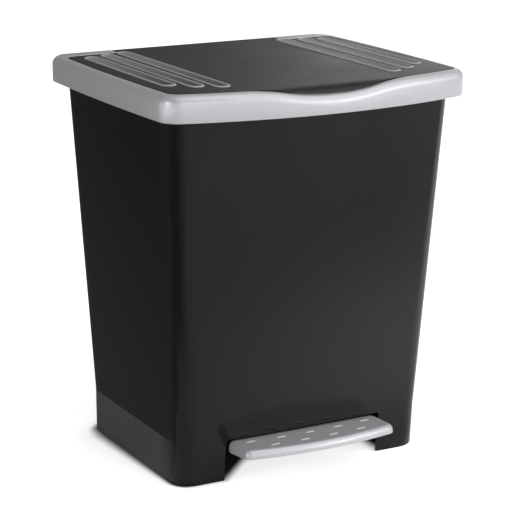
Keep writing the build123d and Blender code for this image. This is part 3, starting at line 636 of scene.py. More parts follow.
def rim_back(rim):
    """The low strip under the hinge and the two pin bosses."""
    deep, low = RIM_HIGH.y - rim.wall, rim.hinge_floor
    front = RIM_HIGH.y - rim.land_back + rim.wall
    top = RIM_HIGH.z - rim.land_thickness
    inner, outer = rim.hinge_half, rim.hinge_half + rim.boss_length
    blocks = (
        block((-inner, deep, RIM_LOW.z), (inner, RIM_HIGH.y, low), 0.5 * rim.edge_round),
        block((inner, front, low), (outer, deep, top), rim.edge_round),
        block((-outer, front, low), (-inner, deep, top), rim.edge_round),
    )
    return [shell(points, around=False, caps=True) for points in blocks]


def lid_panel(rim, lid, plans):
    """The lid's panel, lip and tail as rings from the middle of the underside out to the edge and back.

    The edge is the lid's outline, with a straight tail to the hinge. In front it moves out by the lip, whose
    ends run out along a smooth step, and its foot follows the rim's dip at a gap.
    """
    half = np.concatenate([stations(56, 8, 12, 8, 4), 5 + np.arange(1, 4) / 3, 6 + np.arange(1, 9) / 8])
    station = both_hands(half)[1:]
    hand = np.where(station < 0, -1.0, 1.0)
    step = np.abs(station)
    edge = outline(plans.lid, hand * np.minimum(step, 5.0), lid.barrel_half)
    tail_back = (PIN_LOW.y + PIN_HIGH.y) / 2
    out, across = np.clip(step - 5.0, 0.0, 1.0), np.clip(step - 6.0, 0.0, 1.0)
    on_side = (step > 5.0) & (step < 6.0)
    edge = Edge(
        np.where(step > 5.0, hand * lid.barrel_half * (1 - across), edge.x),
        np.where(step > 5.0, edge.y + (tail_back - edge.y) * out, edge.y),
        np.where(on_side, hand, edge.normal_x),
        np.where(on_side, 0.0, edge.normal_y),
    )
    top, bottom = RIM_HIGH.z, RIM_HIGH.z - lid.thickness
    share = 1 - smooth_step(lid.lip_half_width, lid.lip_half_width + lid.lip_taper, np.abs(edge.x))
    lip = (rim.land_width + lid.side_gap - lid.lip_inset) * np.where(edge.y < 0, share, 0.0)
    is_lip = lip > lid.side_gap / 2
    foot = np.where(is_lip, top - dip_drop(rim, edge.x, edge.y) + lid.lip_gap, bottom)
    low = np.where(foot < bottom, lip - lid.lip_thickness, 0.0)
    inner = -np.where(is_lip, low, -2 * lid.edge_round)
    # where the lip runs out, its edges shrink with its height
    deep = top - foot
    small = np.minimum(0.5 * lid.edge_round, 0.2 * deep)
    fall = np.where(is_lip, np.minimum(0.85 * deep, deep - 1.2 * small), lid.edge_round)
    roll = lid.edge_round + (lid.lip_roll - lid.edge_round) * lip / np.max(lip)
    flat = 2 * lid.edge_round
    rows = [drawn_in(ring(edge, flat, bottom), s) for s in (0.3, 0.6, 0.85, 0.97)]
    rows += [ring(edge, inner + 0.4 * lid.edge_round, bottom), ring(edge, inner, foot)]
    rows += [ring(edge, -lip + small, foot), ring(edge, -lip, foot + small)]
    rows += rounded(edge, -lip, roll, top, fall, 12) + [ring(edge, np.maximum(roll - lip, 0.0) + flat, top)]
    rows += [drawn_in(ring(edge, flat, top), s) for s in (0.85, 0.6, 0.3)]
    return shell(np.stack(rows), along=False, poles=[(0.0, 0.0, bottom), (0.0, 0.0, top)])


def slot_edge(middle, half_run, radius, along_x=False):
    """Points and normals round a slot along y or x.

    A point is the middle, plus or minus half the run, plus the radius times the normal, which turns half a
    round at each end.
    """
    steps = 17
    turn = np.radians(np.concatenate([np.linspace(0, 180, steps), np.linspace(180, 360, steps)]))
    run = np.repeat([half_run, -half_run], steps)
    across, ahead = np.cos(turn), np.sin(turn)
    if along_x:
        return Edge(middle[0] + run + radius * ahead, middle[1] - radius * across, ahead, -across)
    return Edge(middle[0] + radius * across, middle[1] + run + radius * ahead, across, ahead)


def lid_loops(lid):
    """The raised loops, three on each side: a bead carried round a slot, and a low pad inside it.

    The bead's section is half an ellipse that stands on the panel with its foot sunk into it. The pad is
    rings of the slot that close over a low crown.
    """
    section = np.linspace(0.0, np.pi, 11)
    offset = np.concatenate([[1.0], np.cos(section), [-1.0]]) * lid.loop_bead / 2
    rise = np.concatenate([[-0.25], np.sin(section) ** 0.8, [-0.25]]) * lid.loop_height
    top, pad = RIM_HIGH.z, lid.pad_height
    beads, pads = [], []
    for centre, front, back in zip(lid.loop_centres, lid.loop_fronts, lid.loop_backs):
        half_run = (back - front - lid.loop_width) / 2
        for side in (-1, 1):
            middle = (side * centre, (front + back) / 2)
            edge = slot_edge(middle, half_run, (lid.loop_width - lid.loop_bead) / 2)
            beads.append(shell(np.stack([ring(edge, -o, top + h) for o, h in zip(offset, rise)])))
            radius = lid.loop_width / 2 - 0.8 * lid.loop_bead
            edge = slot_edge(middle, half_run, radius)
            levels = ((0.0, -0.3), (0.0, 0.6), (0.4, 0.85), (0.8, 1.0))
            rows = [ring(edge, radius * inset, top + pad * level) for inset, level in levels]
            poles = [(*middle, top - 0.3 * pad), (*middle, top + pad)]
            pads.append(shell(np.stack(rows), along=False, poles=poles))
    return beads, pads


def pad_mark(lid, pad):
    """How much of the loops' lighter grey, a painted sheen, a pad shows at each point: a share that grows
    evenly to its back.
    """
    y = pad[0][:, 1]
    return np.interp(y, (y.min(), y.max()), (lid.pad_front_share, lid.pad_back_share))


def lid_barrel(lid):
    """The hinge barrel: a slotted pipe carried along x, and a turned end with a pin hole at each side."""
    centre = ((PIN_LOW.y + PIN_HIGH.y) / 2, (PIN_LOW.z + PIN_HIGH.z) / 2)
    radius, bore = lid.barrel_radius, lid.barrel_radius - lid.barrel_wall
    pin = (PIN_HIGH.z - PIN_LOW.z) / 2
    middle = lid.barrel_half - lid.barrel_plug
    mouth_out, mouth_in = math.asin(lid.barrel_slot / 2 / radius), math.asin(lid.barrel_slot / 2 / bore)
    outside = np.linspace(mouth_out, 2 * np.pi - mouth_out, 49) - np.pi / 2
    inside = np.linspace(2 * np.pi - mouth_in, mouth_in, 41) - np.pi / 2
    y = np.concatenate([radius * np.cos(outside), bore * np.cos(inside)]) + centre[0]
    z = np.concatenate([radius * np.sin(outside), bore * np.sin(inside)]) + centre[1]
    x = np.linspace(-middle, middle, 5)
    pipe = np.stack(np.broadcast_arrays(x, y[:, None], z[:, None]), axis=-1)
    small = lid.edge_round
    shells = [shell(pipe, around=False, caps=True)]
    for side in (-1, 1):
        ends = [(middle, pin), (middle, radius), (lid.barrel_half - small, radius)]
        ends += [(lid.barrel_half, radius - small), (lid.barrel_half, pin)]
        profile = [(side * x_end, r) for x_end, r in ends][::side]
        shells.append(shell(turned(profile, centre, 48)))
    return shells


def body_wall(settings, plans):
    """The body's wall as a loop of heights round its outline: up the outside and down the inside.

    The outline runs evenly from the skirt's foot to its break and from there to the mouth. Columns in front
    start on the edge of the pedal notch and fan out to the break; at the back they end on the hinge notch.
    """
    body, top, bend = settings.body, mouth_height(settings.rim), settings.body.skirt_height
    break_plan = mixed_plan(plans.foot, plans.mouth, bend / top)
    skirt_plan = break_plan._replace(front=plans.foot.front, front_bow=plans.foot.front_bow)
    half, corner = body.notch_half_width, body.notch_corner
    flat, level = half - corner, body.notch_height - corner
    arc, steps, across = quarter_turn(6)[1:], np.arange(1, 9) / 8, 20
    arc_x, arc_z = flat + corner * np.sin(arc), level + corner * np.cos(arc)
    low_x = np.concatenate([np.linspace(0, flat, across), arc_x, np.full(len(steps), half)])
    low_z = np.concatenate([np.full(across, level + corner), arc_z, level * (1 - steps)])
    # how far the columns at the notch's corner and side fan out, in corner radii
    fan = corner * np.concatenate([np.zeros(across), 0.5 * np.arange(1, 7) / 6, 0.5 + 1.3 * steps])
    high_x = np.where(fan > 0, flat + fan, low_x)
    low_station, high_station = front_station(skirt_plan, low_x), front_station(break_plan, high_x)
    low_rest = low_station[-1] + (1 - low_station[-1]) * steps
    high_rest = high_station[-1] + (1 - high_station[-1]) * steps
    back_x = front_corner(plans.mouth)[0][3]
    notch, edge_gap = (back_x - body.hinge_notch_half) / back_x, 0.004
    back = np.concatenate([[0.5 * notch, notch, notch + edge_gap], np.linspace(notch + 0.05, 1, 8)])
    others = np.concatenate([1 + stations(12, 20, 12)[1:], 4 + back])
    low_z = np.concatenate([low_z, np.zeros(len(steps) + len(others))])
    low_station = np.concatenate([low_station, low_rest, others])
    high_station = np.concatenate([high_station, high_rest, others])
    high_z = np.where(high_station > 4 + notch + edge_gap / 2, body.hinge_notch_floor, top)

    def mirrored(values, sign=1.0):
        """Right half values with the left half before them, without the middle of front and back twice."""
        return np.concatenate([sign * values[-2:0:-1], values])

    low_z, high_z = mirrored(low_z), mirrored(high_z)
    low_station, high_station = mirrored(low_station, -1.0), mirrored(high_station, -1.0)
    small = body.edge_round
    mid = MID_ROUND * small

    def row(share_low, share_high, shift, inset):
        """One ring: a share of the skirt or of the wall over it, moved up by a shift, at an inset."""
        z = low_z + (bend - low_z) * share_low + (high_z - bend) * share_high + shift
        station = low_station + (high_station - low_station) * share_low
        lower = mixed_plan(skirt_plan, break_plan, np.clip(z / bend, 0.0, 1.0))
        plan = mixed_plan(lower, plans.mouth, np.clip((z - bend) / (top - bend), 0.0, 1.0))
        return ring(outline(plan, station), inset, z)

    def climb(inset):
        """Rings from the foot to the top at an inset, short of both ends by their rounding."""
        skirt = (0.3, 0.6, 0.85, 0.985, 1.0)
        upper = (0.0012, 0.01, 0.05, 0.12, 0.25, 0.4, 0.55, 0.7, 0.82, 0.92, 0.97)
        rings = [row(0.0, 0.0, small, inset)] + [row(s, 0.0, 0.0, inset) for s in skirt]
        return rings + [row(1.0, s, 0.0, inset) for s in upper] + [row(1.0, 1.0, -small, inset)]

    rows = [row(0.0, 0.0, 0.0, small), row(0.0, 0.0, mid, mid)] + climb(0.0)
    rows += [row(1.0, 1.0, -mid, mid), row(1.0, 1.0, 0.0, small), row(1.0, 1.0, 0.0, body.wall - small)]
    rows += climb(body.wall)[::-1] + [row(0.0, 0.0, 0.0, body.wall - small)]
    return shell(np.stack(rows))


def body_floor(settings, plans):
    """The floor plate as rings from the middle of its underside to its edge and back, and four round bosses.

    A boss is rings of a circle round its centre, at shares of its radius, from its foot up into the plate.
    """
    body = settings.body
    top, bottom = body.floor_top, body.floor_top - body.floor_thickness
    plan = mixed_plan(plans.foot, plans.mouth, bottom / mouth_height(settings.rim))
    edge = outline(plan, both_hands(stations(12, 8, 8, 8, 8))[1:])
    levels = ((0.5, bottom), (1.0, bottom), (1.0, top), (0.5, top))
    rows = [drawn_in(ring(edge, body.wall / 2, height), share) for share, height in levels]
    shells = [shell(np.stack(rows), along=False, poles=[(0, 0, bottom), (0, 0, top)])]
    turn = np.linspace(0, 2 * np.pi, 32, endpoint=False)
    foot, small, inset = BRACKET_HIGH.z, body.edge_round, body.boss_inset
    share = np.array([0.5, 1.0 - small / body.boss_radius, 1.0, 1.0])
    height = np.array([foot, foot, foot + small, bottom + small])[:, None]
    reach = body.boss_radius * share[:, None]
    for x in (BRACKET_LOW.x + inset, BRACKET_HIGH.x - inset):
        for y in (BRACKET_LOW.y + inset, BRACKET_HIGH.y - inset):
            circle = np.broadcast_arrays(x + reach * np.cos(turn), y + reach * np.sin(turn), height)
            poles = [(x, y, foot), (x, y, bottom + small)]
            shells.append(shell(np.stack(circle, axis=-1), along=False, poles=poles))
    return shells


def bucket_wall(settings, plans):
    """The bucket as rings from the middle of its underside, up its wall, over its lip, and down to its floor.

    The outline runs evenly from foot to mouth. At the middle of each side the wall's top falls along half an
    ellipse as a finger dip, and there the lip runs out.
    """
    bucket, body = settings.bucket, settings.body
    mouth_at = mouth_height(settings.rim)
    bottom, top = BUCKET_LOW.z, BUCKET_HIGH.z

    def inside_body(height, gap, back):
        """The bucket's outline at a height, at a gap from the body's wall, with its own back."""
        plan = mixed_plan(plans.foot, plans.mouth, height / mouth_at)
        return inset_plan(plan, body.wall + gap)._replace(back=back, corner=bucket.corner)

    foot = inside_body(bottom, bucket.foot_gap, bucket.foot_back)
    mouth = inside_body(top, bucket.mouth_gap, BUCKET_HIGH.y - bucket.lip_width)
    station = both_hands(stations(12, 10, 60, 10, 8))[1:]
    # a side runs from the middle of its front corner to that of its back corner
    on_side = (np.abs(station) > 1.5) & (np.abs(station) < 3.5)
    across = np.abs(outline(mouth, station).y) / bucket.grip_half_width
    dip = bucket.grip_depth * np.sqrt(1 - np.clip(across, 0.0, 1.0) ** 2)
    rim_top = top - np.where(on_side, dip, 0.0)
    run_out, least = 1.35, 0.02
    lip = bucket.lip_width * np.where(on_side, np.maximum(smooth_step(1.0, run_out, across), least), 1.0)

    def row(height, inset):
        """A ring of the wall at a height and an inset."""
        plan = mixed_plan(foot, mouth, (height - bottom) / (top - bottom))
        return ring(outline(plan, station), inset, height)

    curve, wall, deep = bucket.foot_round, bucket.wall, bucket.lip_thickness
    small = 0.2 * deep
    climb = [bottom + (rim_top - bottom) * s for s in (0.06, 0.2, 0.4, 0.6, 0.8, 0.93)]
    lip_edge = -lip + 0.2 * lip
    over_lip = [(deep, 0.0), (deep, lip_edge), (deep - small, -lip), (small, -lip), (0.0, lip_edge)]
    over_lip += [(0.0, wall - small), (small, wall)]
    edge, inner = outline(foot, station), curve - wall
    outside = rounded(edge, 0.0, curve, bottom, -curve, 5)[::-1]
    inside = rounded(edge, wall, inner, bottom + wall, -inner, 5)
    rows = [drawn_in(outside[0].copy(), 0.5)] + outside + [row(z, 0.0) for z in climb]
    rows += [row(rim_top - fall, inset) for fall, inset in over_lip]
    rows += [row(z, wall) for z in climb[::-1]] + inside + [drawn_in(inside[-1].copy(), 0.5)]
    poles = [(0.0, 0.0, bottom), (0.0, 0.0, bottom + wall)]
    return shell(np.stack(rows), along=False, poles=poles)


def on_tread(tread, points):
    """Points of the tread's own plane, turned by its tilt about x and moved to its place."""
    sine, cosine = math.sin(tread.tilt), math.cos(tread.tilt)
    x, y, z = points[..., 0], points[..., 1], points[..., 2]
    return np.stack([x, tread.back_y + y * cosine + z * sine, tread.top_z - y * sine + z * cosine], axis=-1)


def tread_rise(tread, y):
    """How far the tread's top stands over its plane: nothing at the front, growing evenly to the back."""
    front = tread.front - tread.front_bow
    return tread.back_rise * (y - front) / (tread.back - front)


def tread_cap(tread):
    """The tread as rings from the middle of its hollow, down its inner wall, up its edge and over its top.

    The edge turns over a quarter round all about. At the back the wall's foot rises for the lever's bar.
    """
    plan = Plan(tread.half_width, tread.side_bow, tread.back, tread.front, tread.front_bow, tread.corner)
    gap_start, slope = 1 - tread.bar_half_width / front_corner(plan)[0][3], 0.006
    back = np.array([0.3 * gap_start, gap_start - slope, gap_start + slope, 0.9, 1.0])
    station = both_hands(np.concatenate([stations(36, 10, 8, 8), 4 + back]))[1:]
    edge = outline(plan, station)
    foot = np.where(np.abs(station) > 4 + gap_start, -tread.bar_gap_depth, -tread.thickness)
    middle = np.array([0.0, (tread.back + tread.front - tread.front_bow) / 2])

    def raised(points):
        """Points of the top, lifted by its rise to the back."""
        points[..., 2] += tread_rise(tread, points[..., 1])
        return points

    wall, curve, roof = tread.wall, tread.top_round, -tread.wall
    small, inner = 0.2 * wall, wall / 2
    rows = [drawn_in(ring(edge, wall + inner, roof), share, middle) for share in (0.4, 0.8)]
    rows += rounded(edge, wall, inner, roof, inner, 4)[::-1]
    rows += [ring(edge, wall, foot + small), ring(edge, wall - small, foot)]
    rows += [ring(edge, small, foot), ring(edge, 0.0, foot + small)]
    rows += [raised(points) for points in rounded(edge, 0.0, curve, 0.0, tread.top_fall, 8)]
    rows += [raised(drawn_in(ring(edge, curve, 0.0), share, middle)) for share in (0.97, 0.8, 0.4)]
    poles = on_tread(tread, np.array([[*middle, roof], [*middle, tread_rise(tread, middle[1])]]))
    return shell(on_tread(tread, np.stack(rows)), along=False, poles=poles)


def tread_dashes(tread):
    """Nine raised dashes in two bowed rows: rings of a slot that close over a low dome."""
    dome = quarter_turn(5)[:-1]
    inset = np.concatenate([[0.0], 1 - np.cos(dome) ** 0.7]) * tread.dash_width / 2
    height = np.concatenate([[-0.3], np.sin(dome)]) * tread.dash_height
    half_run = (tread.dash_length - tread.dash_width) / 2
    shells = []
    for count, row in ((5, tread.dash_back_row), (4, tread.dash_front_row)):
        for x in tread.dash_pitch * (np.arange(count) - (count - 1) / 2):
            y = row - tread.dash_row_bow * (1 - (x / tread.half_width) ** 2)
            edge = slot_edge((x, y), half_run, tread.dash_width / 2, along_x=True)
            rise = tread_rise(tread, edge.y)
            points = np.stack([ring(edge, i, rise + h) for i, h in zip(inset, height)])
            rise = tread_rise(tread, y)
            poles = on_tread(tread, np.array([[x, y, rise + height[0]], [x, y, rise + tread.dash_height]]))
            shells.append(shell(on_tread(tread, points), along=False, poles=poles))
    return shells


# Finishes

NOISE_RANGE = (0.3, 0.7)  # where most of a noise's values lie
TONE_CHANGE = 0.12  # how far a moulding's tone changes over its surface, up and down


class Steps:
    """The nodes of one tree, laid step by step. A plain value or another's socket goes into each input."""

    def __init__(self, tree):
        self.nodes, self.links = tree.nodes, tree.links

    def put(self, value, socket):
        """A value into a socket: a link, a colour made opaque, or the plain value."""
        if isinstance(value, bpy.types.NodeSocket):
            self.links.new(value, socket)
        else:
            socket.default_value = (*value, 1.0) if socket.type == "RGBA" else value

    def fill(self, node, values):
        """Values into a node's inputs, by their names with _ for each space."""
        for label, value in values.items():
            self.put(value, node.inputs[label.replace("_", " ")])
        return node

    def add(self, kind, **values):
        """A node of a kind, with values for its inputs."""
        return self.fill(self.nodes.new("ShaderNode" + kind), values)

    def place(self):
        """Where a point lies on the piece itself."""
        return self.add("TexCoord").outputs["Object"]

    def axes(self):
        """That place as x, y and z."""
        return self.add("SeparateXYZ", Vector=self.place()).outputs

    def sums(self, operation, first, second=0.0):
        """Two values through one operation of the Math node."""
        node = self.nodes.new("ShaderNodeMath")
        node.operation = operation
        self.put(first, node.inputs[0])
        self.put(second, node.inputs[1])
        return node.outputs[0]

    def spread(self, source, low, high, start=NOISE_RANGE[0], end=NOISE_RANGE[1]):
        """A value mapped evenly from a range, by default a noise's, onto low to high."""
        node = self.add("MapRange", Value=source, From_Min=start, From_Max=end, To_Min=low, To_Max=high)
        return node.outputs["Result"]

    def rise(self, source, start, end):
        """A soft rise from 0 to 1 between start and end."""
        result = self.spread(source, 0.0, 1.0, start, end)
        result.node.interpolation_type = "SMOOTHSTEP"
        return result

    def blend(self, share, low, high):
        """A colour or a number from low to high by a share."""
        node = self.nodes.new("ShaderNodeMix")
        node.data_type = "FLOAT" if isinstance(high, float) else "RGBA"
        sockets = [socket for socket in node.inputs if socket.enabled]
        for value, socket in zip((share, low, high), sockets):
            self.put(value, socket)
        return [socket for socket in node.outputs if socket.enabled][0]


class Finish(Steps):
    """A material in the making: its Principled shader and the steps that lead to it."""

    def __init__(self, name):
        self.material = bpy.data.materials.new(name)
        self.material.use_nodes = True
        super().__init__(self.material.node_tree)
        self.shader = self.nodes["Principled BSDF"]
        self.surface = self.nodes["Material Output"].inputs["Surface"]

    def set(self, **values):
        """Values into the shader's own sockets."""
        self.fill(self.shader, values)

    def group(self, make, **values):
        """A shared node group, made by its function at its first use, with values of its own."""
        name = make.__name__
        if name not in bpy.data.node_groups:
            make(name)
        node = self.nodes.new("ShaderNodeGroup")
        node.node_tree = bpy.data.node_groups[name]
        return self.fill(node, values).outputs

    def tint(self, source, base, darker, lighter):
        """A colour that runs from a darker to a lighter share of a base along a noise."""
        ramp = self.add("ValToRGB", Fac=source)
        for element, position, share in zip(ramp.color_ramp.elements, NOISE_RANGE, (darker, lighter)):
            element.position = position
            element.color = [*(min(1.0, c * share) for c in base), 1.0]
        return ramp.outputs["Color"]

    def bump(self, height, strength, distance):
        """A bump from a height into the shader's normal."""
        node = self.add("Bump", Height=height, Strength=strength, Distance=distance)
        self.set(Normal=node.outputs["Normal"])


def new_group(name, inputs, outputs):
    """A shader node group with named numbers: its steps, what it is given and what it puts out."""
    tree = bpy.data.node_groups.new(name, "ShaderNodeTree")
    for label, default in inputs.items():
        socket = tree.interface.new_socket(name=label, in_out="INPUT", socket_type="NodeSocketFloat")
        socket.default_value = default
    for label in outputs:
        tree.interface.new_socket(name=label, in_out="OUTPUT", socket_type="NodeSocketFloat")
    given, result = tree.nodes.new("NodeGroupInput"), tree.nodes.new("NodeGroupOutput")
    return Steps(tree), given.outputs, result.inputs


def moulded_grain(name):
    """Node group: the fine spark texture of a mould and the slow unevenness of its surface."""
    inputs = {"Grain Scale": 1500.0, "Cloud Scale": 12.0}
    steps, given, result = new_group(name, inputs, ("Height", "Cloud"))
    place = steps.place()
    for scale, detail, output in (("Grain Scale", 3.0, "Height"), ("Cloud Scale", 4.0, "Cloud")):
        noise = steps.add("TexNoise", Vector=place, Scale=given[scale], Detail=detail, Roughness=0.55)
        steps.put(noise.outputs["Fac"], result[output])


def metal_flakes(name):
    """Node group: tiny cells of random brightness, as the flakes of a silver moulding compound."""
    steps, given, result = new_group(name, {"Scale": 2200.0}, ("Flake",))
    cells = steps.add("TexVoronoi", Vector=steps.place(), Scale=given["Scale"])
    split = steps.add("SeparateColor", Color=cells.outputs["Color"])
    steps.put(split.outputs["Red"], result["Flake"])


def rubbed_streaks(name):
    """Node group: faint long streaks along x, as drawn metal and handled plastic show."""
    steps, given, result = new_group(name, {"Scale": 40.0}, ("Streak",))
    stretch = steps.add("Mapping", Vector=steps.place(), Scale=(1.0, 14.0, 14.0))
    noise = steps.add("TexNoise", Vector=stretch.outputs["Vector"], Scale=given["Scale"], Detail=5.0)
    steps.put(noise.outputs["Fac"], result["Streak"])


def moulding(name, base, roughness, grain, bump, specular, painted_light=None):
    """A moulded plastic: slow changes of tone and gloss, and a fine mould texture.

    The last argument, if given, is a function that gives where light is painted, from the finish, with the
    colour of that painted light and the roughness there.
    """
    finish = Finish(name)
    noise = finish.group(moulded_grain, Grain_Scale=grain, Cloud_Scale=9.0)
    tone = finish.tint(noise["Cloud"], base, 1 - TONE_CHANGE, 1 + TONE_CHANGE)
    gloss = finish.spread(noise["Cloud"], *roughness)
    if painted_light is not None:
        where, other_tone, other_gloss = painted_light
        share = where(finish)
        tone, gloss = finish.blend(share, tone, other_tone), finish.blend(share, gloss, other_gloss)
    finish.bump(noise["Height"], *bump)
    finish.set(Base_Color=tone, Roughness=gloss, Specular_IOR_Level=specular)
    return finish.material


def marked_share(finish):
    """The share of painted highlight that the lid's loops and the tread's dashes carry, as a point attribute.
    """
    node = finish.nodes.new("ShaderNodeAttribute")
    node.attribute_name = "painted_highlight"
    return node.outputs["Fac"]


def on_skirt_ends(finish):
    """A painted reflection of the floor, as a lighter tone: on the skirt's two ends, under its break and
    behind its front corners, less towards the front.
    """
    body = bpy.context.scene.pedal_bin.body
    x, y, z = finish.axes()
    low = finish.sums("LESS_THAN", z, body.skirt_height)
    edges = (body.foot_half_width - inset for inset in body.matt_out)
    out = finish.spread(finish.sums("ABSOLUTE", x), 0.0, 1.0, *edges)
    start, full = body.foot_front + body.matt_start, body.foot_front + body.corner + body.matt_full
    back = finish.spread(y, 0.0, 1.0, start, full)
    fade = finish.spread(y, body.matt_front, 1.0, body.foot_front, body.foot_back)
    return finish.sums("MULTIPLY", finish.sums("MULTIPLY", low, out), finish.sums("MULTIPLY", back, fade))


def silver_moulding(name, base, dash_highlight):
    """Silver compound: flakes of differing brightness, faint streaks of gloss, and a painted highlight as a
    lighter tone on the dashes.
    """
    finish = Finish(name)
    flake = finish.group(metal_flakes, Scale=2400.0)["Flake"]
    streak = finish.group(rubbed_streaks, Scale=30.0)["Streak"]
    tone = finish.blend(marked_share(finish), finish.tint(flake, base, 0.95, 1.05), dash_highlight)
    gloss = finish.spread(streak, 0.35, 0.42)
    finish.bump(flake, 0.04, 0.0002)
    finish.set(Base_Color=tone, Roughness=gloss, Metallic=0.32, Specular_IOR_Level=0.5)
    return finish.material


def drawn_steel(name, base):
    """Bright drawn steel: streaks along its length in tone, gloss and relief."""
    finish = Finish(name)
    streak = finish.group(rubbed_streaks, Scale=90.0)["Streak"]
    finish.bump(streak, 0.05, 0.0002)
    tone, gloss = finish.tint(streak, base, 0.85, 1.1), finish.spread(streak, 0.22, 0.38)
    finish.set(Base_Color=tone, Roughness=gloss, Metallic=1.0)
    return finish.material


def make_finishes(colours):
    """Every finish by the record's slot names.

    A moulding has a colour, a range of roughness, a grain scale, a bump's strength and depth, and a share of
    reflection.
    """
    # Painted light: a lighter tone on the skirt's ends as a painted reflection, and on the lid's loops as a
    # painted highlight and sheen
    skirt, loops = (on_skirt_ends, colours.skirt, 0.45), (marked_share, colours.loops, 0.5)
    fine, soft, coarse = (0.03, 0.0002), (0.07, 0.0003), (0.12, 0.0003)
    return {
        "body_plastic": moulding("black_body_plastic_with_painted_skirt_reflection", colours.body, (0.11, 0.16), 1400.0, fine, 0.38, skirt),
        "bucket_plastic": moulding("matt_bucket_plastic", colours.bucket, (0.42, 0.55), 900.0, soft, 0.4),
        "lid_plastic": moulding("grained_lid_plastic_with_painted_loop_highlight", colours.lid, (0.42, 0.52), 1800.0, coarse, 0.3, loops),
        "silver_plastic": silver_moulding("silver_plastic_with_painted_dash_highlight", colours.silver, colours.dashes),
        "guide_plastic": moulding("dull_guide_plastic", colours.guide, (0.45, 0.6), 1100.0, soft, 0.4),
        "steel": drawn_steel("drawn_steel", colours.steel),
        "buffer_rubber": moulding("soft_buffer_rubber", colours.rubber, (0.7, 0.85), 2000.0, coarse, 0.3),
    }


FINISHES = {}


def finish_for(slot):
    """The finish of a slot, all of them made at the first call."""
    if not FINISHES:
        FINISHES.update(make_finishes(bpy.context.scene.pedal_bin.finishes))
    return FINISHES[slot]


# Stage


def stage_sheet(name, corners, finish):
    """A strip of flat stage sheets through pairs of corners, left out of the object."""
    mesh = bpy.data.meshes.new(name)
    faces = [(i, i + 1, i + 3, i + 2) for i in range(0, len(corners) - 2, 2)]
    mesh.from_pydata(corners, [], faces)
    mesh.materials.append(finish)
    sheet = bpy.data.objects.new(name, mesh)
    bpy.context.scene.collection.objects.link(sheet)
    return sheet


def seen_directly(steps, mirrored=0.0):
    """1 where the camera looks, straight or through something clear, a share in mirrors, and else 0."""
    path = steps.add("LightPath").outputs
    either = steps.sums("MAXIMUM", path["Is Camera Ray"], path["Is Transmission Ray"])
    return steps.sums("MAXIMUM", either, steps.sums("MULTIPLY", path["Is Glossy Ray"], mirrored))


def card_light(steps, studio):
    """Glow of the cards: dim, more to the floor and the front, and the floor's own tone at their edges."""
    step, rise = steps.sums, steps.rise
    _, y, z = steps.axes()
    dim = steps.spread(z, studio.card_low, studio.card_high, 0.0, studio.card_high_at)
    dim = step("ADD", dim, step("MULTIPLY", rise(y, *studio.front_along), studio.card_front))
    foot = step("MULTIPLY", rise(z, *studio.low_edge_up), rise(y, *studio.low_edge_along))
    edge = step("MULTIPLY", step("MAXIMUM", rise(y, *studio.edge_along), foot), studio.card_edge)
    return step("MAXIMUM", dim, edge)


def foot_shade(steps, studio, body):
    """Distance outside the bin's foot, and how far the floor is lit: 0 under the bin, 1 away from it.

    The distance is that from a rectangle with round corners. The shade fades over a reach that changes round
    the foot, with a faint longer tail. In the pedal notch it starts along a slant from the left foot.
    """
    step, rise, spread = steps.sums, steps.rise, steps.spread
    x, y, _ = steps.axes()
    front, back, corner = body.foot_front, body.foot_back, body.corner
    off_middle = step("ABSOLUTE", step("SUBTRACT", y, (back + front) / 2))
    across = step("SUBTRACT", step("ABSOLUTE", x), body.foot_half_width - corner)
    along = step("SUBTRACT", off_middle, (back - front) / 2 - corner)
    across, along = step("MAXIMUM", across, 0.0), step("MAXIMUM", along, 0.0)
    square = step("ADD", step("MULTIPLY", across, across), step("MULTIPLY", along, along))
    outside = step("SUBTRACT", step("SQRT", square), corner)
    beside = spread(y, studio.shade_near, studio.shade_far, front, back - corner)
    behind = spread(y, studio.shade_far, studio.shade_back, back - 2 * corner, back)
    side = spread(x, 1.0, studio.shade_light_side, *studio.shade_sides)
    ratio = step("DIVIDE", outside, step("MULTIPLY", step("MINIMUM", beside, behind), side))
    core, tail = rise(ratio, 0.0, 1.0), rise(ratio, 0.0, studio.tail_reach)
    core, tail = step("MULTIPLY", core, 1 - studio.tail_share), step("MULTIPLY", tail, studio.tail_share)
    slant = step("MAXIMUM", step("ADD", x, studio.shade_slant), front)
    into_notch = step("SUBTRACT", step("MINIMUM", slant, studio.shade_front), y)
    notch = step("MINIMUM", into_notch, step("SUBTRACT", studio.shade_right, x))
    lit = step("MAXIMUM", step("ADD", core, tail), rise(notch, -studio.shade_soft, studio.shade_soft))
    return outside, lit


def floor_mirror(steps, studio):
    """What mirrored views see: a share of the added light, and the share of the floor's tone that they lose.

    The first grows to the right and towards the bin, and again far to the left. The second lies to the right,
    and in front of the right foot, where both are less; it is a painted shade in the body's reflections.
    """
    step, rise = steps.sums, steps.rise
    x, y, _ = steps.axes()
    near = step("MULTIPLY", rise(x, *studio.mirror_across), rise(y, *studio.mirror_along))
    foot = step("MULTIPLY", rise(y, *studio.foot_along), rise(x, *studio.foot_across))
    foot = step("MULTIPLY", foot, studio.mirror_foot)
    near = step("MULTIPLY", near, step("SUBTRACT", 1.0, foot))
    share = step("MAXIMUM", step("MULTIPLY", near, studio.floor_mirrored), rise(x, *studio.mirror_left))
    aside = rise(step("ADD", x, step("MULTIPLY", y, studio.dim_slope)), *studio.dim_aside)
    lost = step("MULTIPLY", steps.spread(y, studio.mirror_dim, 0.0, *studio.dim_along), aside)
    return share, step("MAXIMUM", lost, foot)


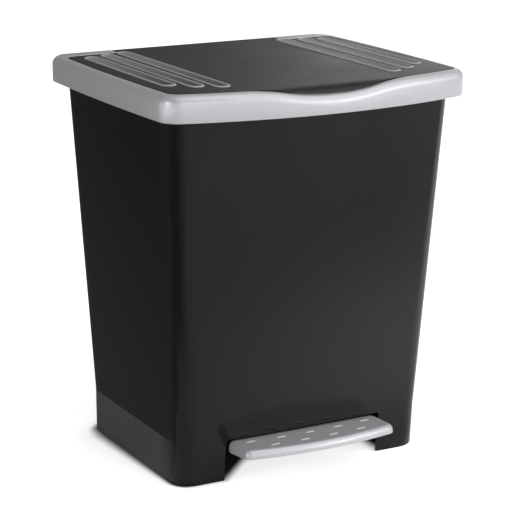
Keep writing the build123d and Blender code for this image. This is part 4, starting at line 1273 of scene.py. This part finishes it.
def lay_floor(studio, body):
    """A pale floor that keeps shadows, with light added where it is seen."""
    pale = Finish("pale_floor")
    step = pale.sums
    outside, lit = foot_shade(pale, studio, body)
    share, lost = floor_mirror(pale, studio)
    far_off = pale.rise(outside, studio.shade_far, studio.white_reach)
    far_off = step("MULTIPLY", far_off, 1 - studio.floor_white)
    added = step("ADD", step("MULTIPLY", lit, studio.floor_white), far_off)
    glow = pale.add("Emission", Strength=step("MULTIPLY", seen_directly(pale, share), added))
    mirror = pale.add("LightPath").outputs["Is Glossy Ray"]
    kept = step("MULTIPLY", lit, step("SUBTRACT", 1.0, step("MULTIPLY", mirror, lost)))
    tone = pale.blend(kept, studio.floor_shade, studio.floor)
    pale.set(Base_Color=tone, Roughness=0.9, Specular_IOR_Level=0.0)
    total = pale.add("AddShader")
    pale.put(pale.shader.outputs[0], total.inputs[0])
    pale.put(glow.outputs[0], total.inputs[1])
    pale.put(total.outputs[0], pale.surface)
    far = studio.floor_half
    stage_sheet("studio_floor", [(x, y, 0.0) for y in (-far, far) for x in (-far, far)], pale.material)


def stand_cards(studio, body):
    """Two dim cards at the left that only mirrored views see. One also covers the floor up to the bin."""
    dim = Finish("dim_card")
    dim.nodes.remove(dim.shader)
    dim.put(dim.add("Emission", Strength=card_light(dim, studio)).outputs[0], dim.surface)
    x, foot = studio.card_place, -body.foot_half_width
    (low, high), (corner_low, corner_high) = studio.card_heights, studio.corner_heights
    for name, ends, section in (
        ("left_card", studio.card_ends, ((foot, low), (x, low), (x, high))),
        ("corner_card", studio.corner_ends, ((x, corner_low), (x, corner_high))),
    ):
        card = stage_sheet(name, [(across, y, z) for across, z in section for y in ends], dim.material)
        card.visible_camera = card.visible_diffuse = False
        card.visible_shadow = card.visible_transmission = False


def set_world(studio):
    """White where it is seen, and a soft even light where light is gathered."""
    world = bpy.data.worlds.new("studio_world")
    bpy.context.scene.world = world
    world.use_nodes = True
    steps = Steps(world.node_tree)
    white = (1.0, 1.0, 1.0)
    ambient = steps.fill(steps.nodes["Background"], {"Color": white, "Strength": studio.ambient})
    seen = steps.add("Background", Color=white, Strength=1.0)
    mix = steps.add("MixShader", Fac=seen_directly(steps))
    steps.put(ambient.outputs[0], mix.inputs[1])
    steps.put(seen.outputs[0], mix.inputs[2])
    steps.put(mix.outputs[0], steps.nodes["World Output"].inputs["Surface"])


def hang_lights(studio):
    """A large softbox in front to the right, weaker ones in front, overhead and behind, and a left strip.

    Each is a rectangle of a width and a height at a place, turned to the light target.
    """
    for name, place, size, watts in (
        ("front_softbox", (1.4, -1.8, 0.75), (1.6, 1.0), studio.key_power),
        ("fill_softbox", (-0.3, -2.3, 0.6), (1.0, 0.8), studio.fill_power),
        ("top_softbox", (0.7, -1.0, 1.95), (2.3, 2.3), studio.top_power),
        ("left_strip", (-1.95, -0.42, 0.6), (0.2, 0.5), studio.strip_power),
        ("back_softbox", (1.27, 1.4, 0.95), (0.8, 0.6), studio.back_power),
    ):
        lamp = bpy.data.lights.new(name, "AREA")
        lamp.shape = "RECTANGLE"
        lamp.size, lamp.size_y = size
        lamp.energy = watts
        holder = bpy.data.objects.new(name, lamp)
        bpy.context.scene.collection.objects.link(holder)
        holder.location = place
        look = Vector(studio.light_target) - Vector(place)
        holder.rotation_euler = look.to_track_quat("-Z", "Y").to_euler()


def set_camera(studio):
    """The camera at its place, turned by azimuth and elevation: columns right, up and back."""
    a, e = studio.azimuth, studio.elevation
    back = Vector((math.sin(a) * math.cos(e), -math.cos(a) * math.cos(e), math.sin(e)))
    right = Vector((math.cos(a), math.sin(a), 0.0))
    up = back.cross(right)
    data = bpy.data.cameras.new("photo_camera")
    data.sensor_width = 36.0
    data.lens = studio.lens
    data.shift_x, data.shift_y = studio.shift_x, studio.shift_y
    camera = bpy.data.objects.new("photo_camera", data)
    bpy.context.scene.collection.objects.link(camera)
    turn = Matrix((right, up, back)).transposed().to_4x4()
    camera.matrix_world = Matrix.Translation(Vector(studio.camera_place)) @ turn
    bpy.context.scene.camera = camera


# Operators


class BIN_OT_rim(bpy.types.Operator):
    """Build the silver rim frame"""

    bl_idname = "pedal_bin.rim"
    bl_label = "Rim frame"

    def execute(self, context):
        settings = context.scene.pedal_bin
        shells = [rim_band(settings.rim, bin_plans(settings))] + rim_back(settings.rim)
        make_piece("rim_moulding", shells, "silver_plastic", "rim", "rim_frame")
        return {"FINISHED"}


class BIN_OT_lid(bpy.types.Operator):
    """Build the lid with its lip, loops and hinge barrel"""

    bl_idname = "pedal_bin.lid"
    bl_label = "Lid"

    def execute(self, context):
        settings = context.scene.pedal_bin
        lid = settings.lid
        beads, pads = lid_loops(lid)
        plain = [lid_panel(settings.rim, lid, bin_plans(settings))] + lid_barrel(lid)
        # Beads carry the full painted highlight; pads carry a painted sheen that grows to their back
        painted_highlights = [0.0] * len(plain) + [1.0] * len(beads) + [pad_mark(lid, pad) for pad in pads]
        make_piece("lid_moulding", plain + beads + pads, "lid_plastic", "lid", "lid_panel", painted_highlights)
        return {"FINISHED"}


class BIN_OT_body(bpy.types.Operator):
    """Build the outer body"""

    bl_idname = "pedal_bin.body"
    bl_label = "Outer body"

    def execute(self, context):
        settings = context.scene.pedal_bin
        plans = bin_plans(settings)
        shells = [body_wall(settings, plans)] + body_floor(settings, plans)
        make_piece("body_moulding", shells, "body_plastic", "body", "outer_body")
        return {"FINISHED"}


class BIN_OT_bucket(bpy.types.Operator):
    """Build the inner bucket"""

    bl_idname = "pedal_bin.bucket"
    bl_label = "Inner bucket"

    def execute(self, context):
        settings = context.scene.pedal_bin
        shells = [bucket_wall(settings, bin_plans(settings))]
        make_piece("bucket_moulding", shells, "bucket_plastic", "body", "inner_bucket")
        return {"FINISHED"}


class BIN_OT_tread(bpy.types.Operator):
    """Build the pedal tread with its raised dashes"""

    bl_idname = "pedal_bin.tread"
    bl_label = "Pedal tread"

    def execute(self, context):
        tread = context.scene.pedal_bin.tread
        shells = [tread_cap(tread)] + tread_dashes(tread)
        # The dashes carry the painted highlight
        painted_highlights = [0.0] + [1.0] * (len(shells) - 1)
        make_piece("tread_moulding", shells, "silver_plastic", "pedal", "pedal_tread", painted_highlights)
        return {"FINISHED"}


class BIN_OT_fittings(bpy.types.Operator):
    """Give the frame's own fittings their finishes"""

    bl_idname = "pedal_bin.fittings"
    bl_label = "Fittings"

    def execute(self, context):
        for part in frame["record"]["subparts"]:
            slots = frame["nodes"][part["node"]].data.materials
            slots.clear()
            slots.append(finish_for(part["material_slot"]))
        return {"FINISHED"}


class BIN_OT_stage(bpy.types.Operator):
    """Lay the floor and set the light and the camera"""

    bl_idname = "pedal_bin.stage"
    bl_label = "Stage"

    def execute(self, context):
        settings = context.scene.pedal_bin
        lay_floor(settings.studio, settings.body)
        stand_cards(settings.studio, settings.body)
        set_world(settings.studio)
        hang_lights(settings.studio)
        set_camera(settings.studio)
        context.scene.view_settings.view_transform = "Standard"
        return {"FINISHED"}


class BIN_PT_panel(bpy.types.Panel):
    """Lists the bin's pieces and its stage"""

    bl_idname = "BIN_PT_panel"
    bl_label = "Pedal bin"
    bl_space_type = "VIEW_3D"
    bl_region_type = "UI"
    bl_category = "Pedal bin"

    def draw(self, context):
        for operator in OPERATORS:
            self.layout.operator(operator.bl_idname)


GROUPS = (RimSizes, LidSizes, BodySizes, BucketSizes, TreadSizes, Finishes, Studio, BinSettings)
OPERATORS = (BIN_OT_stage, BIN_OT_rim, BIN_OT_lid, BIN_OT_body, BIN_OT_bucket, BIN_OT_tread, BIN_OT_fittings)


def register():
    """Registers the settings, the operators and the panel."""
    for some in GROUPS + OPERATORS + (BIN_PT_panel,):
        bpy.utils.register_class(some)
    settings = PointerProperty(name="Pedal bin", description="All settings", type=BinSettings)
    bpy.types.Scene.pedal_bin = settings


def unregister():
    """Takes them away again."""
    del bpy.types.Scene.pedal_bin
    for some in reversed(GROUPS + OPERATORS + (BIN_PT_panel,)):
        bpy.utils.unregister_class(some)


def main():
    """Builds the stage and every piece."""
    register()
    bpy.ops.pedal_bin.stage()
    bpy.ops.pedal_bin.rim()
    bpy.ops.pedal_bin.lid()
    bpy.ops.pedal_bin.body()
    bpy.ops.pedal_bin.bucket()
    bpy.ops.pedal_bin.tread()
    bpy.ops.pedal_bin.fittings()


if __name__ == "__main__":
    main()
